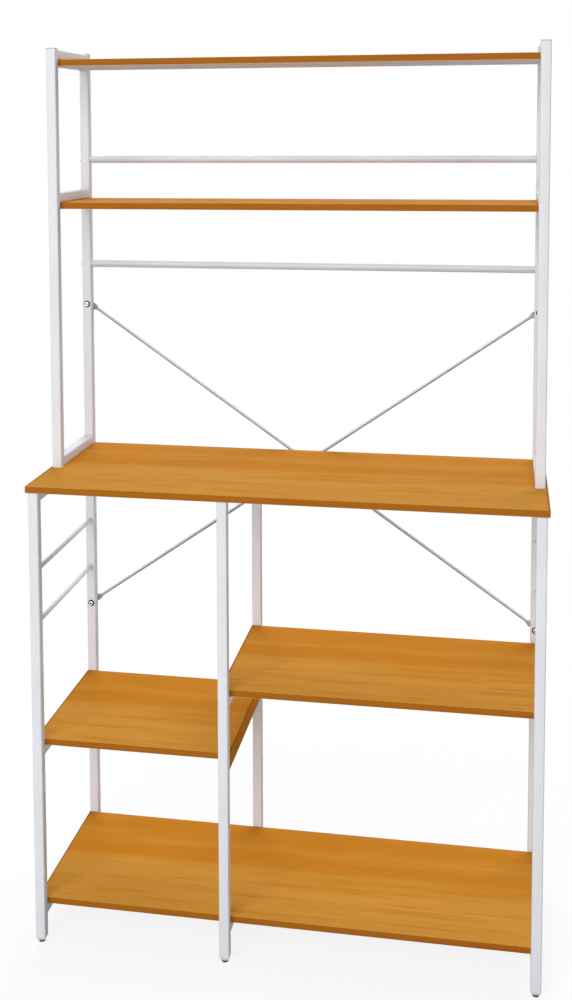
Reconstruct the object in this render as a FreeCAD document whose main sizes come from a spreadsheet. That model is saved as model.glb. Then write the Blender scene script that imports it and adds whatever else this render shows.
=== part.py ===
import FreeCAD, Part
import os
import Sketcher
from FreeCAD import Placement, Rotation, Vector

# A kitchen shelf: a lower unit of three welded side frames with boards, a desktop, and a hutch of two
# welded side frames standing on it. +Z is up, the front faces -Y, and the origin is on the floor below
# the middle of the whole object's box.

# Driving sizes in millimetres, each with its meaning.
SIZES = {
    "desk_width": (900, "desktop, left to right"),
    "desk_depth": (350, "desktop, front to back"),
    "desk_height": (840, "floor to the desktop's top"),
    "desk_back_gap": (3, "desktop's back edge to the back faces of the posts"),
    "board": (12, "thickness of every board"),
    "board_arris": (0.8, "rounding of the boards' edges"),
    "board_gap": (0.5, "board's long edges to the legs or posts beside them"),
    "tube": (18, "outside of the square tube"),
    "tube_wall": (1, "wall of the square tube"),
    "tube_corner": (2.5, "outside rounding of the square tube"),
    "least_corner": (0.3, "smallest rounding inside the square tube"),
    "side_inset": (4, "desktop's ends to the outer faces of the side frames"),
    "front_inset": (4, "desktop's front edge to the front legs"),
    "middle_place": (-99, "centre plane of the middle frame"),
    "base_height": (78, "floor to the top of the bottom shelf"),
    "left_height": (375, "floor to the top of the left shelf"),
    "right_height": (490, "floor to the top of the right shelf"),
    "hutch_depth": (215, "front to back over the hutch's posts"),
    "post_length": (768, "length of the hutch's posts"),
    "hutch_shelf_rise": (490, "desktop to the top of the hutch's lower shelf"),
    "upper_rail_rise": (565, "desktop to the axis of the upper rail"),
    "lower_rail_rise": (360, "desktop to the axis of the lower rail"),
    "rail_diameter": (14, "outside of the round back rails"),
    "rail_wall": (1, "wall of the round back rails"),
    "rail_end": (4, "thickness of the tapped discs that close the rails"),
    "hook_rod_diameter": (8, "rods across the outer frames"),
    "hook_rod_upper": (685, "floor to the axis of the upper hook rod"),
    "hook_rod_lower": (590, "floor to the axis of the lower hook rod"),
    "brace_diameter": (6, "round of the brace rods"),
    "brace_flat": (2.4, "thickness of the braces where they are pressed flat"),
    "brace_flat_width": (12, "width of the braces where they are pressed flat"),
    "brace_taper": (10, "length over which a brace goes from flat to round"),
    "brace_shoulder": (0.2, "step from a brace's flat to its taper"),
    "brace_end_run": (18, "flat run from a brace's bolt towards its middle"),
    "brace_middle_run": (14, "flat run from the crossing to each side"),
    "brace_post_rise": (280, "desktop to the braces' bolts in the posts"),
    "brace_leg_height": (514, "floor to the braces' bolts in the legs"),
    "bolt_diameter": (6, "shank of the frame bolts"),
    "bolt_flange_diameter": (13, "flange under the bolts' heads"),
    "bolt_flange": (1, "thickness of that flange"),
    "bolt_head_diameter": (11, "button head at its foot"),
    "bolt_crown_diameter": (6, "button head at its crown"),
    "bolt_head_height": (2.8, "height of the button head above its flange"),
    "socket_flats": (4, "hexagon socket, across flats"),
    "socket_depth": (2.2, "depth of the hexagon socket"),
    "bolt_clearance": (0.3, "round a bolt in a plain hole"),
    "thread_clearance": (0.05, "round a bolt in a nut or a tapped hole"),
    "nut_flats": (10, "nut, across flats"),
    "nut_height": (5, "height of the nuts"),
    "spacer_diameter": (14, "washers that space the rear brace"),
    "rivet_diameter": (5, "rivet where the braces cross"),
    "rivet_head_diameter": (9, "rivet's heads"),
    "rivet_head_height": (1.5, "height of the rivet's heads"),
    "screw_diameter": (4, "shank of the board screws"),
    "screw_head_diameter": (8, "pan heads of the board screws"),
    "screw_head_height": (2.4, "height of those heads"),
    "screw_slot": (0.9, "width of the cross recess"),
    "screw_slot_span": (4.4, "span of the cross recess"),
    "screw_bite": (8, "depth that a screw goes into what it holds"),
    "screw_clearance": (0.2, "round a screw"),
    "screw_inset": (40, "bar's ends to its screws"),
    "hutch_bolt_inset": (35, "hutch bar's ends to the bolts through the desktop"),
    "plug_length": (18, "leg plug inside the tube"),
    "plug_clearance": (0.2, "leg plug or cap to the tube's inside"),
    "plug_foot": (5.5, "height of the plug's tapered foot"),
    "plug_foot_side": (13, "side of the plug's foot at its lower end"),
    "cap_flange": (2, "post cap above the tube"),
    "cap_length": (12, "post cap inside the tube"),
    "pad_diameter": (12, "levelling foot's pad"),
    "pad_height": (4, "height of that pad"),
    "pad_arris": (1, "bevel under the pad"),
    "stud_diameter": (6, "levelling foot's stud"),
    "stud_length": (22, "length of that stud"),
    "stud_seat": (2.5, "depth of the stud's seat in the pad"),
    "stud_clearance": (0.08, "round the stud in its plug and its seat"),
    "rest_gap": (0.3, "pad to plug when the foot is screwed in"),
}

# Places that follow from the sizes, as expressions.
BACK = "((Sizes.desk_depth + Sizes.desk_back_gap - 2 * Sizes.brace_flat - Sizes.nut_height) / 2)"
DESK_BACK = f"({BACK} - Sizes.desk_back_gap)"
DESK_FRONT = f"({DESK_BACK} - Sizes.desk_depth)"
DESK_UNDER = "(Sizes.desk_height - Sizes.board)"
REAR_LINE = f"({BACK} - Sizes.tube / 2)"
LEG_LINE = f"({DESK_FRONT} + Sizes.front_inset + Sizes.tube / 2)"
POST_LINE = f"({BACK} - Sizes.hutch_depth + Sizes.tube / 2)"
LEG_BOTTOM = "(Sizes.pad_height + Sizes.rest_gap + Sizes.plug_foot)"
POST_TOP = "(Sizes.desk_height + Sizes.post_length)"
SIDE_LINE = "(Sizes.desk_width / 2 - Sizes.side_inset - Sizes.tube / 2)"
FRAME_LINE = {"left": f"(-{SIDE_LINE})", "middle": "Sizes.middle_place", "right": SIDE_LINE}
SIDES = ("left", "right")
HALF_TUBE = "Sizes.tube / 2"
TOP_SHELF = f"({POST_TOP} - Sizes.tube)"
HUTCH_SHELF = "(Sizes.desk_height + Sizes.hutch_shelf_rise)"
POST_BOLT = "(Sizes.desk_height + Sizes.brace_post_rise)"
BOLT_HOLE = "(Sizes.bolt_diameter / 2 + Sizes.bolt_clearance)"
TAPPED_HOLE = "(Sizes.bolt_diameter / 2 + Sizes.thread_clearance)"
SCREW_HOLE = "(Sizes.screw_diameter / 2 + Sizes.screw_clearance)"

# The braces: from the crossing to a bolt, their slope, and where the flats end and the round begins.
BRACE_RUN = f"(2 * {SIDE_LINE})"
BRACE_DROP = f"({POST_BOLT} - Sizes.brace_leg_height)"
BRACE_HALF = f"(sqrt({BRACE_RUN} ^ 2 + {BRACE_DROP} ^ 2) / 2)"
BRACE_SLOPE = f"atan({BRACE_DROP} / {BRACE_RUN})"
BRACE_CROSSING = f"(({POST_BOLT} + Sizes.brace_leg_height) / 2)"
BRACE_INNER = "(Sizes.brace_middle_run + Sizes.brace_taper)"
BRACE_OUTER = f"({BRACE_HALF} - Sizes.brace_end_run - Sizes.brace_taper)"
BRACE_AXIS = "((Sizes.brace_diameter - Sizes.brace_flat) / 2)"

# Cross bars of each lower frame: name and the height of the underside of the board that lies on it.
# The desktop rests straight on the middle frame's two legs, without a bar between them.
LOWER_BARS = {
    "left": {"desk": DESK_UNDER, "shelf": "(Sizes.left_height - Sizes.board)",
             "base": "(Sizes.base_height - Sizes.board)"},
    "middle": {"high_shelf": "(Sizes.right_height - Sizes.board)",
               "low_shelf": "(Sizes.left_height - Sizes.board)", "base": "(Sizes.base_height - Sizes.board)"},
    "right": {"desk": DESK_UNDER, "shelf": "(Sizes.right_height - Sizes.board)",
              "base": "(Sizes.base_height - Sizes.board)"},
}

UPRIGHT = Rotation()
TURNED_OVER = Rotation(Vector(1, 0, 0), 180)
ALONG_Y = Rotation(Vector(1, 0, 0), -90)
ALONG_X = Rotation(Vector(0, 1, 0), 90)
TOWARDS_FRONT = Rotation(Vector(1, 0, 0), 90)
TOWARDS_LEFT = Rotation(Vector(0, 1, 0), -90)

document = FreeCAD.newDocument("kitchen_shelf")
nodes = []


def make_sheet():
    """Writes the driving sizes into the document's sheet, one row each."""
    sheet = document.addObject("Spreadsheet::Sheet", "Sizes")
    for row, (alias, (size, meaning)) in enumerate(SIZES.items(), start=1):
        sheet.set(f"A{row}", alias)
        sheet.set(f"B{row}", str(size))
        sheet.setAlias(f"B{row}", alias)
        sheet.set(f"C{row}", meaning)
    document.recompute()
    return sheet


sizes = make_sheet()


def value(expression):
    """The number that an expression of the sizes has now."""
    return float(sizes.evalExpression(expression))


def place(thing, x, y, z, turn=UPRIGHT):
    """Binds an object's place to three expressions, with a fixed turn."""
    thing.Placement = Placement(Vector(), turn)
    for axis, expression in zip("xyz", (x, y, z)):
        thing.setExpression(f"Placement.Base.{axis}", expression)
    return thing


def keep(thing):
    """Marks an object as one of the part's nodes."""
    nodes.append(thing)
    return thing


def new_body(label):
    """An empty body with its own label."""
    body = document.addObject("PartDesign::Body", label)
    body.Label = label
    return body


def new_sketch(body, role):
    """An empty sketch on one of a body's own origin planes."""
    planes = {feature.Role: feature for feature in body.Origin.OriginFeatures}
    sketch = body.newObject("Sketcher::SketchObject", "Sketch")
    sketch.AttachmentSupport = [(planes[role], "")]
    sketch.MapMode = "FlatFace"
    return sketch


def bind(sketch, expression, kind, *parts):
    """Adds one dimension to a sketch and ties it to an expression."""
    number = sketch.addConstraint(Sketcher.Constraint(kind, *parts, value(expression)))
    name = f"size_{number}"
    sketch.renameConstraint(number, name)
    sketch.setExpression(f"Constraints.{name}", expression)


def pin(sketch, item, point, u, v):
    """Ties a point of a sketch to two expressions; a zero puts it on that axis."""
    for expression, kind, axis in ((u, "DistanceX", -2), (v, "DistanceY", -1)):
        if expression == "0":
            sketch.addConstraint(Sketcher.Constraint("PointOnObject", item, point, axis))
        else:
            bind(sketch, expression, kind, -1, 1, item, point)


def draw_square(sketch, side, corner):
    """Draws a square with round corners about the sketch's origin."""
    half = value(side) / 2
    radius = value(corner)
    items = []
    for quarter in range(4):
        turn = Rotation(Vector(0, 0, 1), 90 * quarter)
        start = turn.multVec(Vector(radius - half, -half, 0))
        end = turn.multVec(Vector(half - radius, -half, 0))
        centre = turn.multVec(Vector(half - radius, radius - half, 0))
        middle = centre + turn.multVec(Vector(radius, -radius, 0)) / 2 ** 0.5
        after = centre + turn.multVec(Vector(radius, 0, 0))
        items.append(sketch.addGeometry(Part.LineSegment(start, end)))
        items.append(sketch.addGeometry(Part.Arc(end, middle, after)))
    lines = items[0::2]
    arcs = items[1::2]
    for quarter in range(4):
        following = lines[(quarter + 1) % 4]
        sketch.addConstraint(Sketcher.Constraint("Tangent", lines[quarter], 2, arcs[quarter], 1))
        sketch.addConstraint(Sketcher.Constraint("Tangent", arcs[quarter], 2, following, 1))
    for line, direction in zip(lines, ("Horizontal", "Vertical", "Horizontal", "Vertical")):
        sketch.addConstraint(Sketcher.Constraint(direction, line))
    for arc in arcs[1:]:
        sketch.addConstraint(Sketcher.Constraint("Equal", arcs[0], arc))
    bind(sketch, corner, "Radius", arcs[0])
    bind(sketch, side, "DistanceX", lines[3], 1, lines[1], 1)
    bind(sketch, side, "DistanceY", lines[0], 1, lines[2], 1)
    sketch.addConstraint(Sketcher.Constraint("Symmetric", arcs[0], 3, arcs[2], 3, -1, 1))


def draw_outline(sketch, points):
    """Draws a closed outline of straight lines through points given as pairs of expressions."""
    corners = [Vector(value(u), value(v), 0) for u, v in points]
    count = len(corners)
    lines = [sketch.addGeometry(Part.LineSegment(corners[i], corners[(i + 1) % count])) for i in range(count)]
    for i, (u, v) in enumerate(points):
        sketch.addConstraint(Sketcher.Constraint("Coincident", lines[i - 1], 2, lines[i], 1))
        pin(sketch, lines[i], 1, u, v)


def draw_hexagon(sketch, flats):
    """Draws a regular hexagon about the origin, with one corner on the horizontal axis."""
    radius = value(flats) / 3 ** 0.5
    circle = sketch.addGeometry(Part.Circle(Vector(), Vector(0, 0, 1), radius), True)
    sketch.addConstraint(Sketcher.Constraint("Coincident", circle, 3, -1, 1))
    bind(sketch, f"({flats}) / sqrt(3)", "Radius", circle)
    corners = [Rotation(Vector(0, 0, 1), 60 * i).multVec(Vector(radius, 0, 0)) for i in range(6)]
    lines = [sketch.addGeometry(Part.LineSegment(corners[i], corners[(i + 1) % 6])) for i in range(6)]
    for i in range(6):
        sketch.addConstraint(Sketcher.Constraint("Coincident", lines[i - 1], 2, lines[i], 1))
        sketch.addConstraint(Sketcher.Constraint("PointOnObject", lines[i], 1, circle))
    for line in lines[1:]:
        sketch.addConstraint(Sketcher.Constraint("Equal", lines[0], line))
    sketch.addConstraint(Sketcher.Constraint("PointOnObject", lines[0], 1, -1))


def draw_circle(sketch, radius, u="0", v="0"):
    """Draws a circle at a place given by two expressions."""
    centre = Vector(value(u), value(v), 0)
    circle = sketch.addGeometry(Part.Circle(centre, Vector(0, 0, 1), value(radius)))
    bind(sketch, radius, "Radius", circle)
    pin(sketch, circle, 3, u, v)


def pad(body, sketch, length, downwards=False):
    """Pads a sketch by an expression."""
    feature = body.newObject("PartDesign::Pad", "Pad")
    feature.Profile = sketch
    feature.Reversed = downwards
    feature.setExpression("Length", length)
    return feature


def cut(body, sketch, depth=None, sides="One side", reverse=False):
    """Pockets a sketch, right through or to a depth, and checks that material went."""
    document.recompute()
    before = body.Shape.Volume
    feature = body.newObject("PartDesign::Pocket", "Pocket")
    feature.Profile = sketch
    feature.SideType = sides
    feature.Reversed = reverse
    if depth is None:
        feature.Type = "ThroughAll"
    else:
        feature.setExpression("Length", depth)
    document.recompute()
    if body.Shape.Volume >= before:
        raise RuntimeError(f"the cut in {body.Label} removed nothing")


def drill(body, role, places, radius, depth=None, sides="One side", reverse=False):
    """Drills round holes square to one of a body's planes."""
    sketch = new_sketch(body, role)
    for u, v in places:
        draw_circle(sketch, radius, u, v)
    cut(body, sketch, depth, sides, reverse)


def turned(label, points):
    """A body turned about its own Z axis from the half outline that the points give."""
    body = new_body(label)
    sketch = new_sketch(body, "XZ_Plane")
    draw_outline(sketch, points)
    feature = body.newObject("PartDesign::Revolution", "Revolution")
    feature.Profile = sketch
    feature.ReferenceAxis = (sketch, ["V_Axis"])
    feature.Angle = 360
    return body


def group(label, master, spots):
    """One node that holds copies of a small piece, each at its place and turn."""
    copies = []
    for number, (x, y, z, turn) in enumerate(spots):
        copy = document.addObject("App::Link", f"{label}_{number}")
        copy.LinkedObject = master
        copies.append(place(copy, x, y, z, turn))
    joined = document.addObject("Part::Compound", label)
    joined.Label = label
    joined.Links = copies
    return keep(joined)


def square_tube(label, length, x, y, z, turn=UPRIGHT):
    """A hollow square tube that starts at a place and runs along its turned Z axis."""
    body = new_body(label)
    sketch = new_sketch(body, "XY_Plane")
    draw_square(sketch, "Sizes.tube", "Sizes.tube_corner")
    inner_corner = "max(Sizes.tube_corner - Sizes.tube_wall; Sizes.least_corner)"
    draw_square(sketch, "Sizes.tube - 2 * Sizes.tube_wall", inner_corner)
    pad(body, sketch, length)
    return keep(place(body, x, y, z, turn))


def board(label, left, right, front, back, under):
    """A flat board with rounded edges between four plan lines."""
    body = new_body(label)
    sketch = new_sketch(body, "XY_Plane")
    width = f"({right} - {left})"
    depth = f"({back} - {front})"
    draw_outline(sketch, [("0", "0"), (width, "0"), (width, depth), ("0", depth)])
    slab = pad(body, sketch, "Sizes.board")
    document.recompute()
    rounding = body.newObject("PartDesign::Fillet", "Rounding")
    rounding.Base = (slab, [])
    rounding.UseAllEdges = True
    rounding.setExpression("Radius", "Sizes.board_arris")
    return keep(place(body, left, front, under))


# Where the screws and bolts stand along the bars, measured from a bar's front end.
LOWER_BAR_FRONT = f"({LEG_LINE} + {HALF_TUBE})"
LOWER_BAR_LENGTH = f"({REAR_LINE} - {LEG_LINE} - Sizes.tube)"
HUTCH_BAR_FRONT = f"({POST_LINE} + {HALF_TUBE})"
HUTCH_BAR_LENGTH = f"({REAR_LINE} - {POST_LINE} - Sizes.tube)"
LOWER_SCREWS = ("Sizes.screw_inset", f"({LOWER_BAR_LENGTH} - Sizes.screw_inset)")
HUTCH_SCREWS = ("Sizes.screw_inset", f"({HUTCH_BAR_LENGTH} - Sizes.screw_inset)")
HUTCH_BOLTS = ("Sizes.hutch_bolt_inset", f"({HUTCH_BAR_LENGTH} - Sizes.hutch_bolt_inset)")
HUTCH_BOLT_LINES = [f"({HUTCH_BAR_FRONT} + {along})" for along in HUTCH_BOLTS]
# The desk bars have a screw in front of the hutch only; behind it, the hutch's bolts hold the desktop.
DESK_SCREWS = LOWER_SCREWS[:1]


def make_legs():
    """Six legs; the back legs of the outer frames are drilled for the braces."""
    length = f"({DESK_UNDER} - {LEG_BOTTOM})"
    for side, line in FRAME_LINE.items():
        square_tube(f"{side}_front_leg", length, line, LEG_LINE, LEG_BOTTOM)
        back = square_tube(f"{side}_back_leg", length, line, REAR_LINE, LEG_BOTTOM)
        if side in SIDES:
            spot = ("0", f"(Sizes.brace_leg_height - {LEG_BOTTOM})")
            drill(back, "XZ_Plane", [spot], BOLT_HOLE, sides="Symmetric")


def make_lower_bars():
    """The cross bars that carry the boards, drilled upwards for the screws."""
    for side, bars in LOWER_BARS.items():
        for name, top in bars.items():
            height = f"({top} - {HALF_TUBE})"
            bar = square_tube(f"{side}_{name}_bar", LOWER_BAR_LENGTH, FRAME_LINE[side], LOWER_BAR_FRONT,
                              height, ALONG_Y)
            along = DESK_SCREWS if name == "desk" else LOWER_SCREWS
            drill(bar, "XZ_Plane", [("0", spot) for spot in along], SCREW_HOLE, sides="Symmetric")
            if name == "desk":
                spots = [("0", f"({line} - {LOWER_BAR_FRONT})") for line in HUTCH_BOLT_LINES]
                drill(bar, "XZ_Plane", spots, BOLT_HOLE, sides="Symmetric")


def make_hook_rods():
    """Two round rods across each outer frame, from leg to leg."""
    for side in SIDES:
        rods = []
        for name in ("upper", "lower"):
            rod = document.addObject("Part::Cylinder", f"{side}_{name}_rod")
            rod.setExpression("Radius", "Sizes.hook_rod_diameter / 2")
            rod.setExpression("Height", LOWER_BAR_LENGTH)
            rods.append(place(rod, FRAME_LINE[side], LOWER_BAR_FRONT, f"Sizes.hook_rod_{name}", ALONG_Y))
        joined = document.addObject("Part::Compound", f"{side}_hook_rods")
        joined.Links = rods
        keep(joined)


def make_boards():
    """The bottom, left and right shelves, the desktop and the hutch's two shelves."""
    outer = f"({SIDE_LINE} + {HALF_TUBE})"
    middle_left = f"({FRAME_LINE['middle']} - {HALF_TUBE})"
    middle_right = f"({FRAME_LINE['middle']} + {HALF_TUBE})"
    front = f"({LOWER_BAR_FRONT} + Sizes.board_gap)"
    back = f"({REAR_LINE} - {HALF_TUBE} - Sizes.board_gap)"
    shelves = (
        ("bottom_shelf", f"(-{outer})", outer, "Sizes.base_height", ("left", "middle", "right")),
        ("left_shelf", f"(-{outer})", middle_right, "Sizes.left_height", ("left", "middle")),
        ("right_shelf", middle_left, outer, "Sizes.right_height", ("middle", "right")),
    )
    for label, left, right, top, frames in shelves:
        shelf = board(label, left, right, front, back, f"({top} - Sizes.board)")
        holes = [(f"({FRAME_LINE[side]} - {left})", f"({spot} - Sizes.board_gap)")
                 for side in frames for spot in LOWER_SCREWS]
        drill(shelf, "XY_Plane", holes, SCREW_HOLE, "Sizes.screw_bite", reverse=True)

    left = "(-Sizes.desk_width / 2)"
    desktop = board("desktop", left, "(Sizes.desk_width / 2)", DESK_FRONT, DESK_BACK, DESK_UNDER)
    blind = [(f"({FRAME_LINE[side]} - {left})", f"({LOWER_BAR_FRONT} + {spot} - {DESK_FRONT})")
             for side in SIDES for spot in DESK_SCREWS]
    drill(desktop, "XY_Plane", blind, SCREW_HOLE, "Sizes.screw_bite", reverse=True)
    through = [(f"({FRAME_LINE[side]} - {left})", f"({line} - {DESK_FRONT})")
               for side in SIDES for line in HUTCH_BOLT_LINES]
    drill(desktop, "XY_Plane", through, BOLT_HOLE, reverse=True)

    front = f"({HUTCH_BAR_FRONT} + Sizes.board_gap)"
    for label, top in (("hutch_shelf", HUTCH_SHELF), ("top_shelf", TOP_SHELF)):
        shelf = board(label, f"(-{outer})", outer, front, back, f"({top} - Sizes.board)")
        holes = [(f"({FRAME_LINE[side]} + {outer})", f"({spot} - Sizes.board_gap)")
                 for side in SIDES for spot in HUTCH_SCREWS]
        drill(shelf, "XY_Plane", holes, SCREW_HOLE, reverse=True)


def make_hutch_frames():
    """Two welded frames: posts with top, middle and bottom bars between them."""
    heights = {"top": f"({POST_TOP} - {HALF_TUBE})", "middle": f"({HUTCH_SHELF} + {HALF_TUBE})",
               "bottom": f"(Sizes.desk_height + {HALF_TUBE})"}
    rails = [("0", f"Sizes.{name}_rail_rise") for name in ("upper", "lower")]
    for side in SIDES:
        line = FRAME_LINE[side]
        square_tube(f"hutch_{side}_front_post", "Sizes.post_length", line, POST_LINE, "Sizes.desk_height")
        back = square_tube(f"hutch_{side}_back_post", "Sizes.post_length", line, REAR_LINE,
                           "Sizes.desk_height")
        drill(back, "XZ_Plane", [("0", "Sizes.brace_post_rise")], BOLT_HOLE, sides="Symmetric")
        drill(back, "YZ_Plane", rails, BOLT_HOLE, sides="Symmetric")
        for name, height in heights.items():
            bar = square_tube(f"hutch_{side}_{name}_bar", HUTCH_BAR_LENGTH, line, HUTCH_BAR_FRONT, height,
                              ALONG_Y)
            if name == "bottom":
                drill(bar, "XZ_Plane", [("0", along) for along in HUTCH_BOLTS], BOLT_HOLE)
            else:
                drill(bar, "XZ_Plane", [("0", along) for along in HUTCH_SCREWS], SCREW_HOLE)


def make_rails():
    """Two round tubes between the back posts, closed by tapped discs."""
    outside = "Sizes.rail_diameter / 2"
    inside = "(Sizes.rail_diameter / 2 - Sizes.rail_wall)"
    length = f"(2 * {SIDE_LINE} - Sizes.tube)"
    far = f"({length} - Sizes.rail_end)"
    near = "Sizes.rail_end"
    for name in ("upper", "lower"):
        rail = turned(f"{name}_rail", [
            (TAPPED_HOLE, "0"), (outside, "0"), (outside, length), (TAPPED_HOLE, length),
            (TAPPED_HOLE, far), (inside, far), (inside, near), (TAPPED_HOLE, near)])
        start = f"({HALF_TUBE} - {SIDE_LINE})"
        keep(place(rail, start, REAR_LINE, f"(Sizes.desk_height + Sizes.{name}_rail_rise)", ALONG_X))


def primitive(kind, label, bound, x="0", y="0", turn=UPRIGHT):
    """A simple form in a brace's own frame, with its sizes bound to expressions."""
    thing = document.addObject(kind, label)
    for name, expression in bound.items():
        thing.setExpression(name, expression)
    return place(thing, x, y, "0", turn)


def flat_strip(label, start, length):
    """A pressed-flat stretch of a brace along the X axis, centred on it."""
    strip = document.addObject("Part::Box", label)
    strip.setExpression("Length", length)
    strip.setExpression("Width", "Sizes.brace_flat")
    strip.setExpression("Height", "Sizes.brace_flat_width")
    return place(strip, start, "-Sizes.brace_flat / 2", "-Sizes.brace_flat_width / 2")


def pressed_taper(label, flat_end, round_end):
    """The stretch of a brace between its flat and its round, which are flush at the front."""
    flat_size = {"MajorRadius": "Sizes.brace_flat_width / 2 - Sizes.brace_shoulder",
                 "MinorRadius": "Sizes.brace_flat / 2 - Sizes.brace_shoulder"}
    flat = primitive("Part::Ellipse", f"{label}_flat", flat_size, flat_end, turn=ALONG_X)
    round_size = {"Radius": "Sizes.brace_diameter / 2"}
    rod = primitive("Part::Circle", f"{label}_round", round_size, round_end, BRACE_AXIS, ALONG_X)
    taper = document.addObject("Part::Loft", label)
    taper.Sections = [flat, rod]
    taper.Solid = True
    taper.Ruled = True
    return taper


def cross_hole(label, radius, x="0"):
    """The tool that cuts a hole square through a brace's flat."""
    size = {"Radius": radius, "Height": "Sizes.tube"}
    return primitive("Part::Cylinder", label, size, x, f"(-{HALF_TUBE})", ALONG_Y)


def brace_half(label, way, turn):
    """The pieces of a brace from its crossing to one of its bolts; way is the sign of that side."""
    rod_size = {"Radius": "Sizes.brace_diameter / 2", "Height": f"{BRACE_OUTER} - {BRACE_INNER}"}
    end_size = {"Radius": "Sizes.brace_flat_width / 2", "Height": "Sizes.brace_flat"}
    flat_end = f"({BRACE_HALF} - Sizes.brace_end_run)"
    return [
        primitive("Part::Cylinder", f"{label}_rod", rod_size, f"{way}{BRACE_INNER}", BRACE_AXIS, turn),
        pressed_taper(f"{label}_inner_taper", f"{way}Sizes.brace_middle_run", f"{way}{BRACE_INNER}"),
        pressed_taper(f"{label}_outer_taper", f"{way}{flat_end}", f"{way}{BRACE_OUTER}"),
        flat_strip(f"{label}_flat", f"(-{BRACE_HALF})" if way else flat_end, "Sizes.brace_end_run"),
        primitive("Part::Cylinder", f"{label}_end", end_size, f"{way}{BRACE_HALF}",
                  "-Sizes.brace_flat / 2", ALONG_Y),
    ]


def make_braces():
    """Two crossing rods behind the posts, pressed flat at their ends and where they cross."""
    rivet_hole = "Sizes.rivet_diameter / 2 + Sizes.thread_clearance"
    layers = {"falling_brace": ("0.5", ""), "rising_brace": ("1.5", "-")}
    for label, (layer, sign) in layers.items():
        pieces = [flat_strip(f"{label}_middle", "-Sizes.brace_middle_run", "2 * Sizes.brace_middle_run")]
        holes = [cross_hole(f"{label}_rivet_hole", rivet_hole)]
        for name, way, turn in (("right", "", ALONG_X), ("left", "-", TOWARDS_LEFT)):
            pieces += brace_half(f"{label}_{name}", way, turn)
            holes.append(cross_hole(f"{label}_{name}_hole", BOLT_HOLE, f"{way}{BRACE_HALF}"))
        rod = document.addObject("Part::MultiFuse", f"{label}_rod")
        rod.Shapes = pieces
        openings = document.addObject("Part::MultiFuse", f"{label}_openings")
        openings.Shapes = holes
        brace = document.addObject("Part::Cut", label)
        brace.Base = rod
        brace.Tool = openings
        back = f"({BACK} + {layer} * Sizes.brace_flat)"
        place(brace, "0", back, BRACE_CROSSING, Rotation(Vector(0, 1, 0), 1))
        brace.setExpression("Placement.Rotation.Angle", f"{sign}{BRACE_SLOPE}")
        keep(brace)


def button_bolt(label, length):
    """A bolt that hangs down from its flange, with a hexagon socket in its button head."""
    radius = "Sizes.bolt_diameter / 2"
    rim = "Sizes.bolt_flange_diameter / 2"
    tip = f"(-{length})"
    crown = "(Sizes.bolt_flange + Sizes.bolt_head_height)"
    bolt = turned(label, [
        ("0", tip), (radius, tip), (radius, "0"), (rim, "0"), (rim, "Sizes.bolt_flange"),
        ("Sizes.bolt_head_diameter / 2", "Sizes.bolt_flange"), ("Sizes.bolt_crown_diameter / 2", crown),
        ("0", crown)])
    sketch = new_sketch(bolt, "XY_Plane")
    sketch.setExpression("AttachmentOffset.Base.z", crown)
    draw_hexagon(sketch, "Sizes.socket_flats")
    cut(bolt, sketch, "Sizes.socket_depth")
    return bolt


def pan_screw(label, length):
    """A screw that hangs down from its head, with a cross recess."""
    radius = "Sizes.screw_diameter / 2"
    head = "Sizes.screw_head_diameter / 2"
    shoulder = "Sizes.screw_head_height / 2"
    screw = turned(label, [
        ("0", f"(-{length})"), (radius, f"(-{length} + {radius})"), (radius, "0"), (head, "0"),
        (head, shoulder), (f"({head} - {shoulder})", "Sizes.screw_head_height"),
        ("0", "Sizes.screw_head_height")])
    long_side = "Sizes.screw_slot_span / 2"
    short_side = "Sizes.screw_slot / 2"
    for u, v in ((long_side, short_side), (short_side, long_side)):
        sketch = new_sketch(screw, "XY_Plane")
        sketch.setExpression("AttachmentOffset.Base.z", "Sizes.screw_head_height")
        draw_outline(sketch, [(f"-{u}", f"-{v}"), (u, f"-{v}"), (u, v), (f"-{u}", v)])
        cut(screw, sketch, shoulder)
    return screw


def make_nut():
    """A plain hexagon nut standing on its own origin."""
    nut = new_body("nut_master")
    sketch = new_sketch(nut, "XY_Plane")
    draw_hexagon(sketch, "Sizes.nut_flats")
    draw_circle(sketch, TAPPED_HOLE)
    pad(nut, sketch, "Sizes.nut_height")
    return nut


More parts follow.
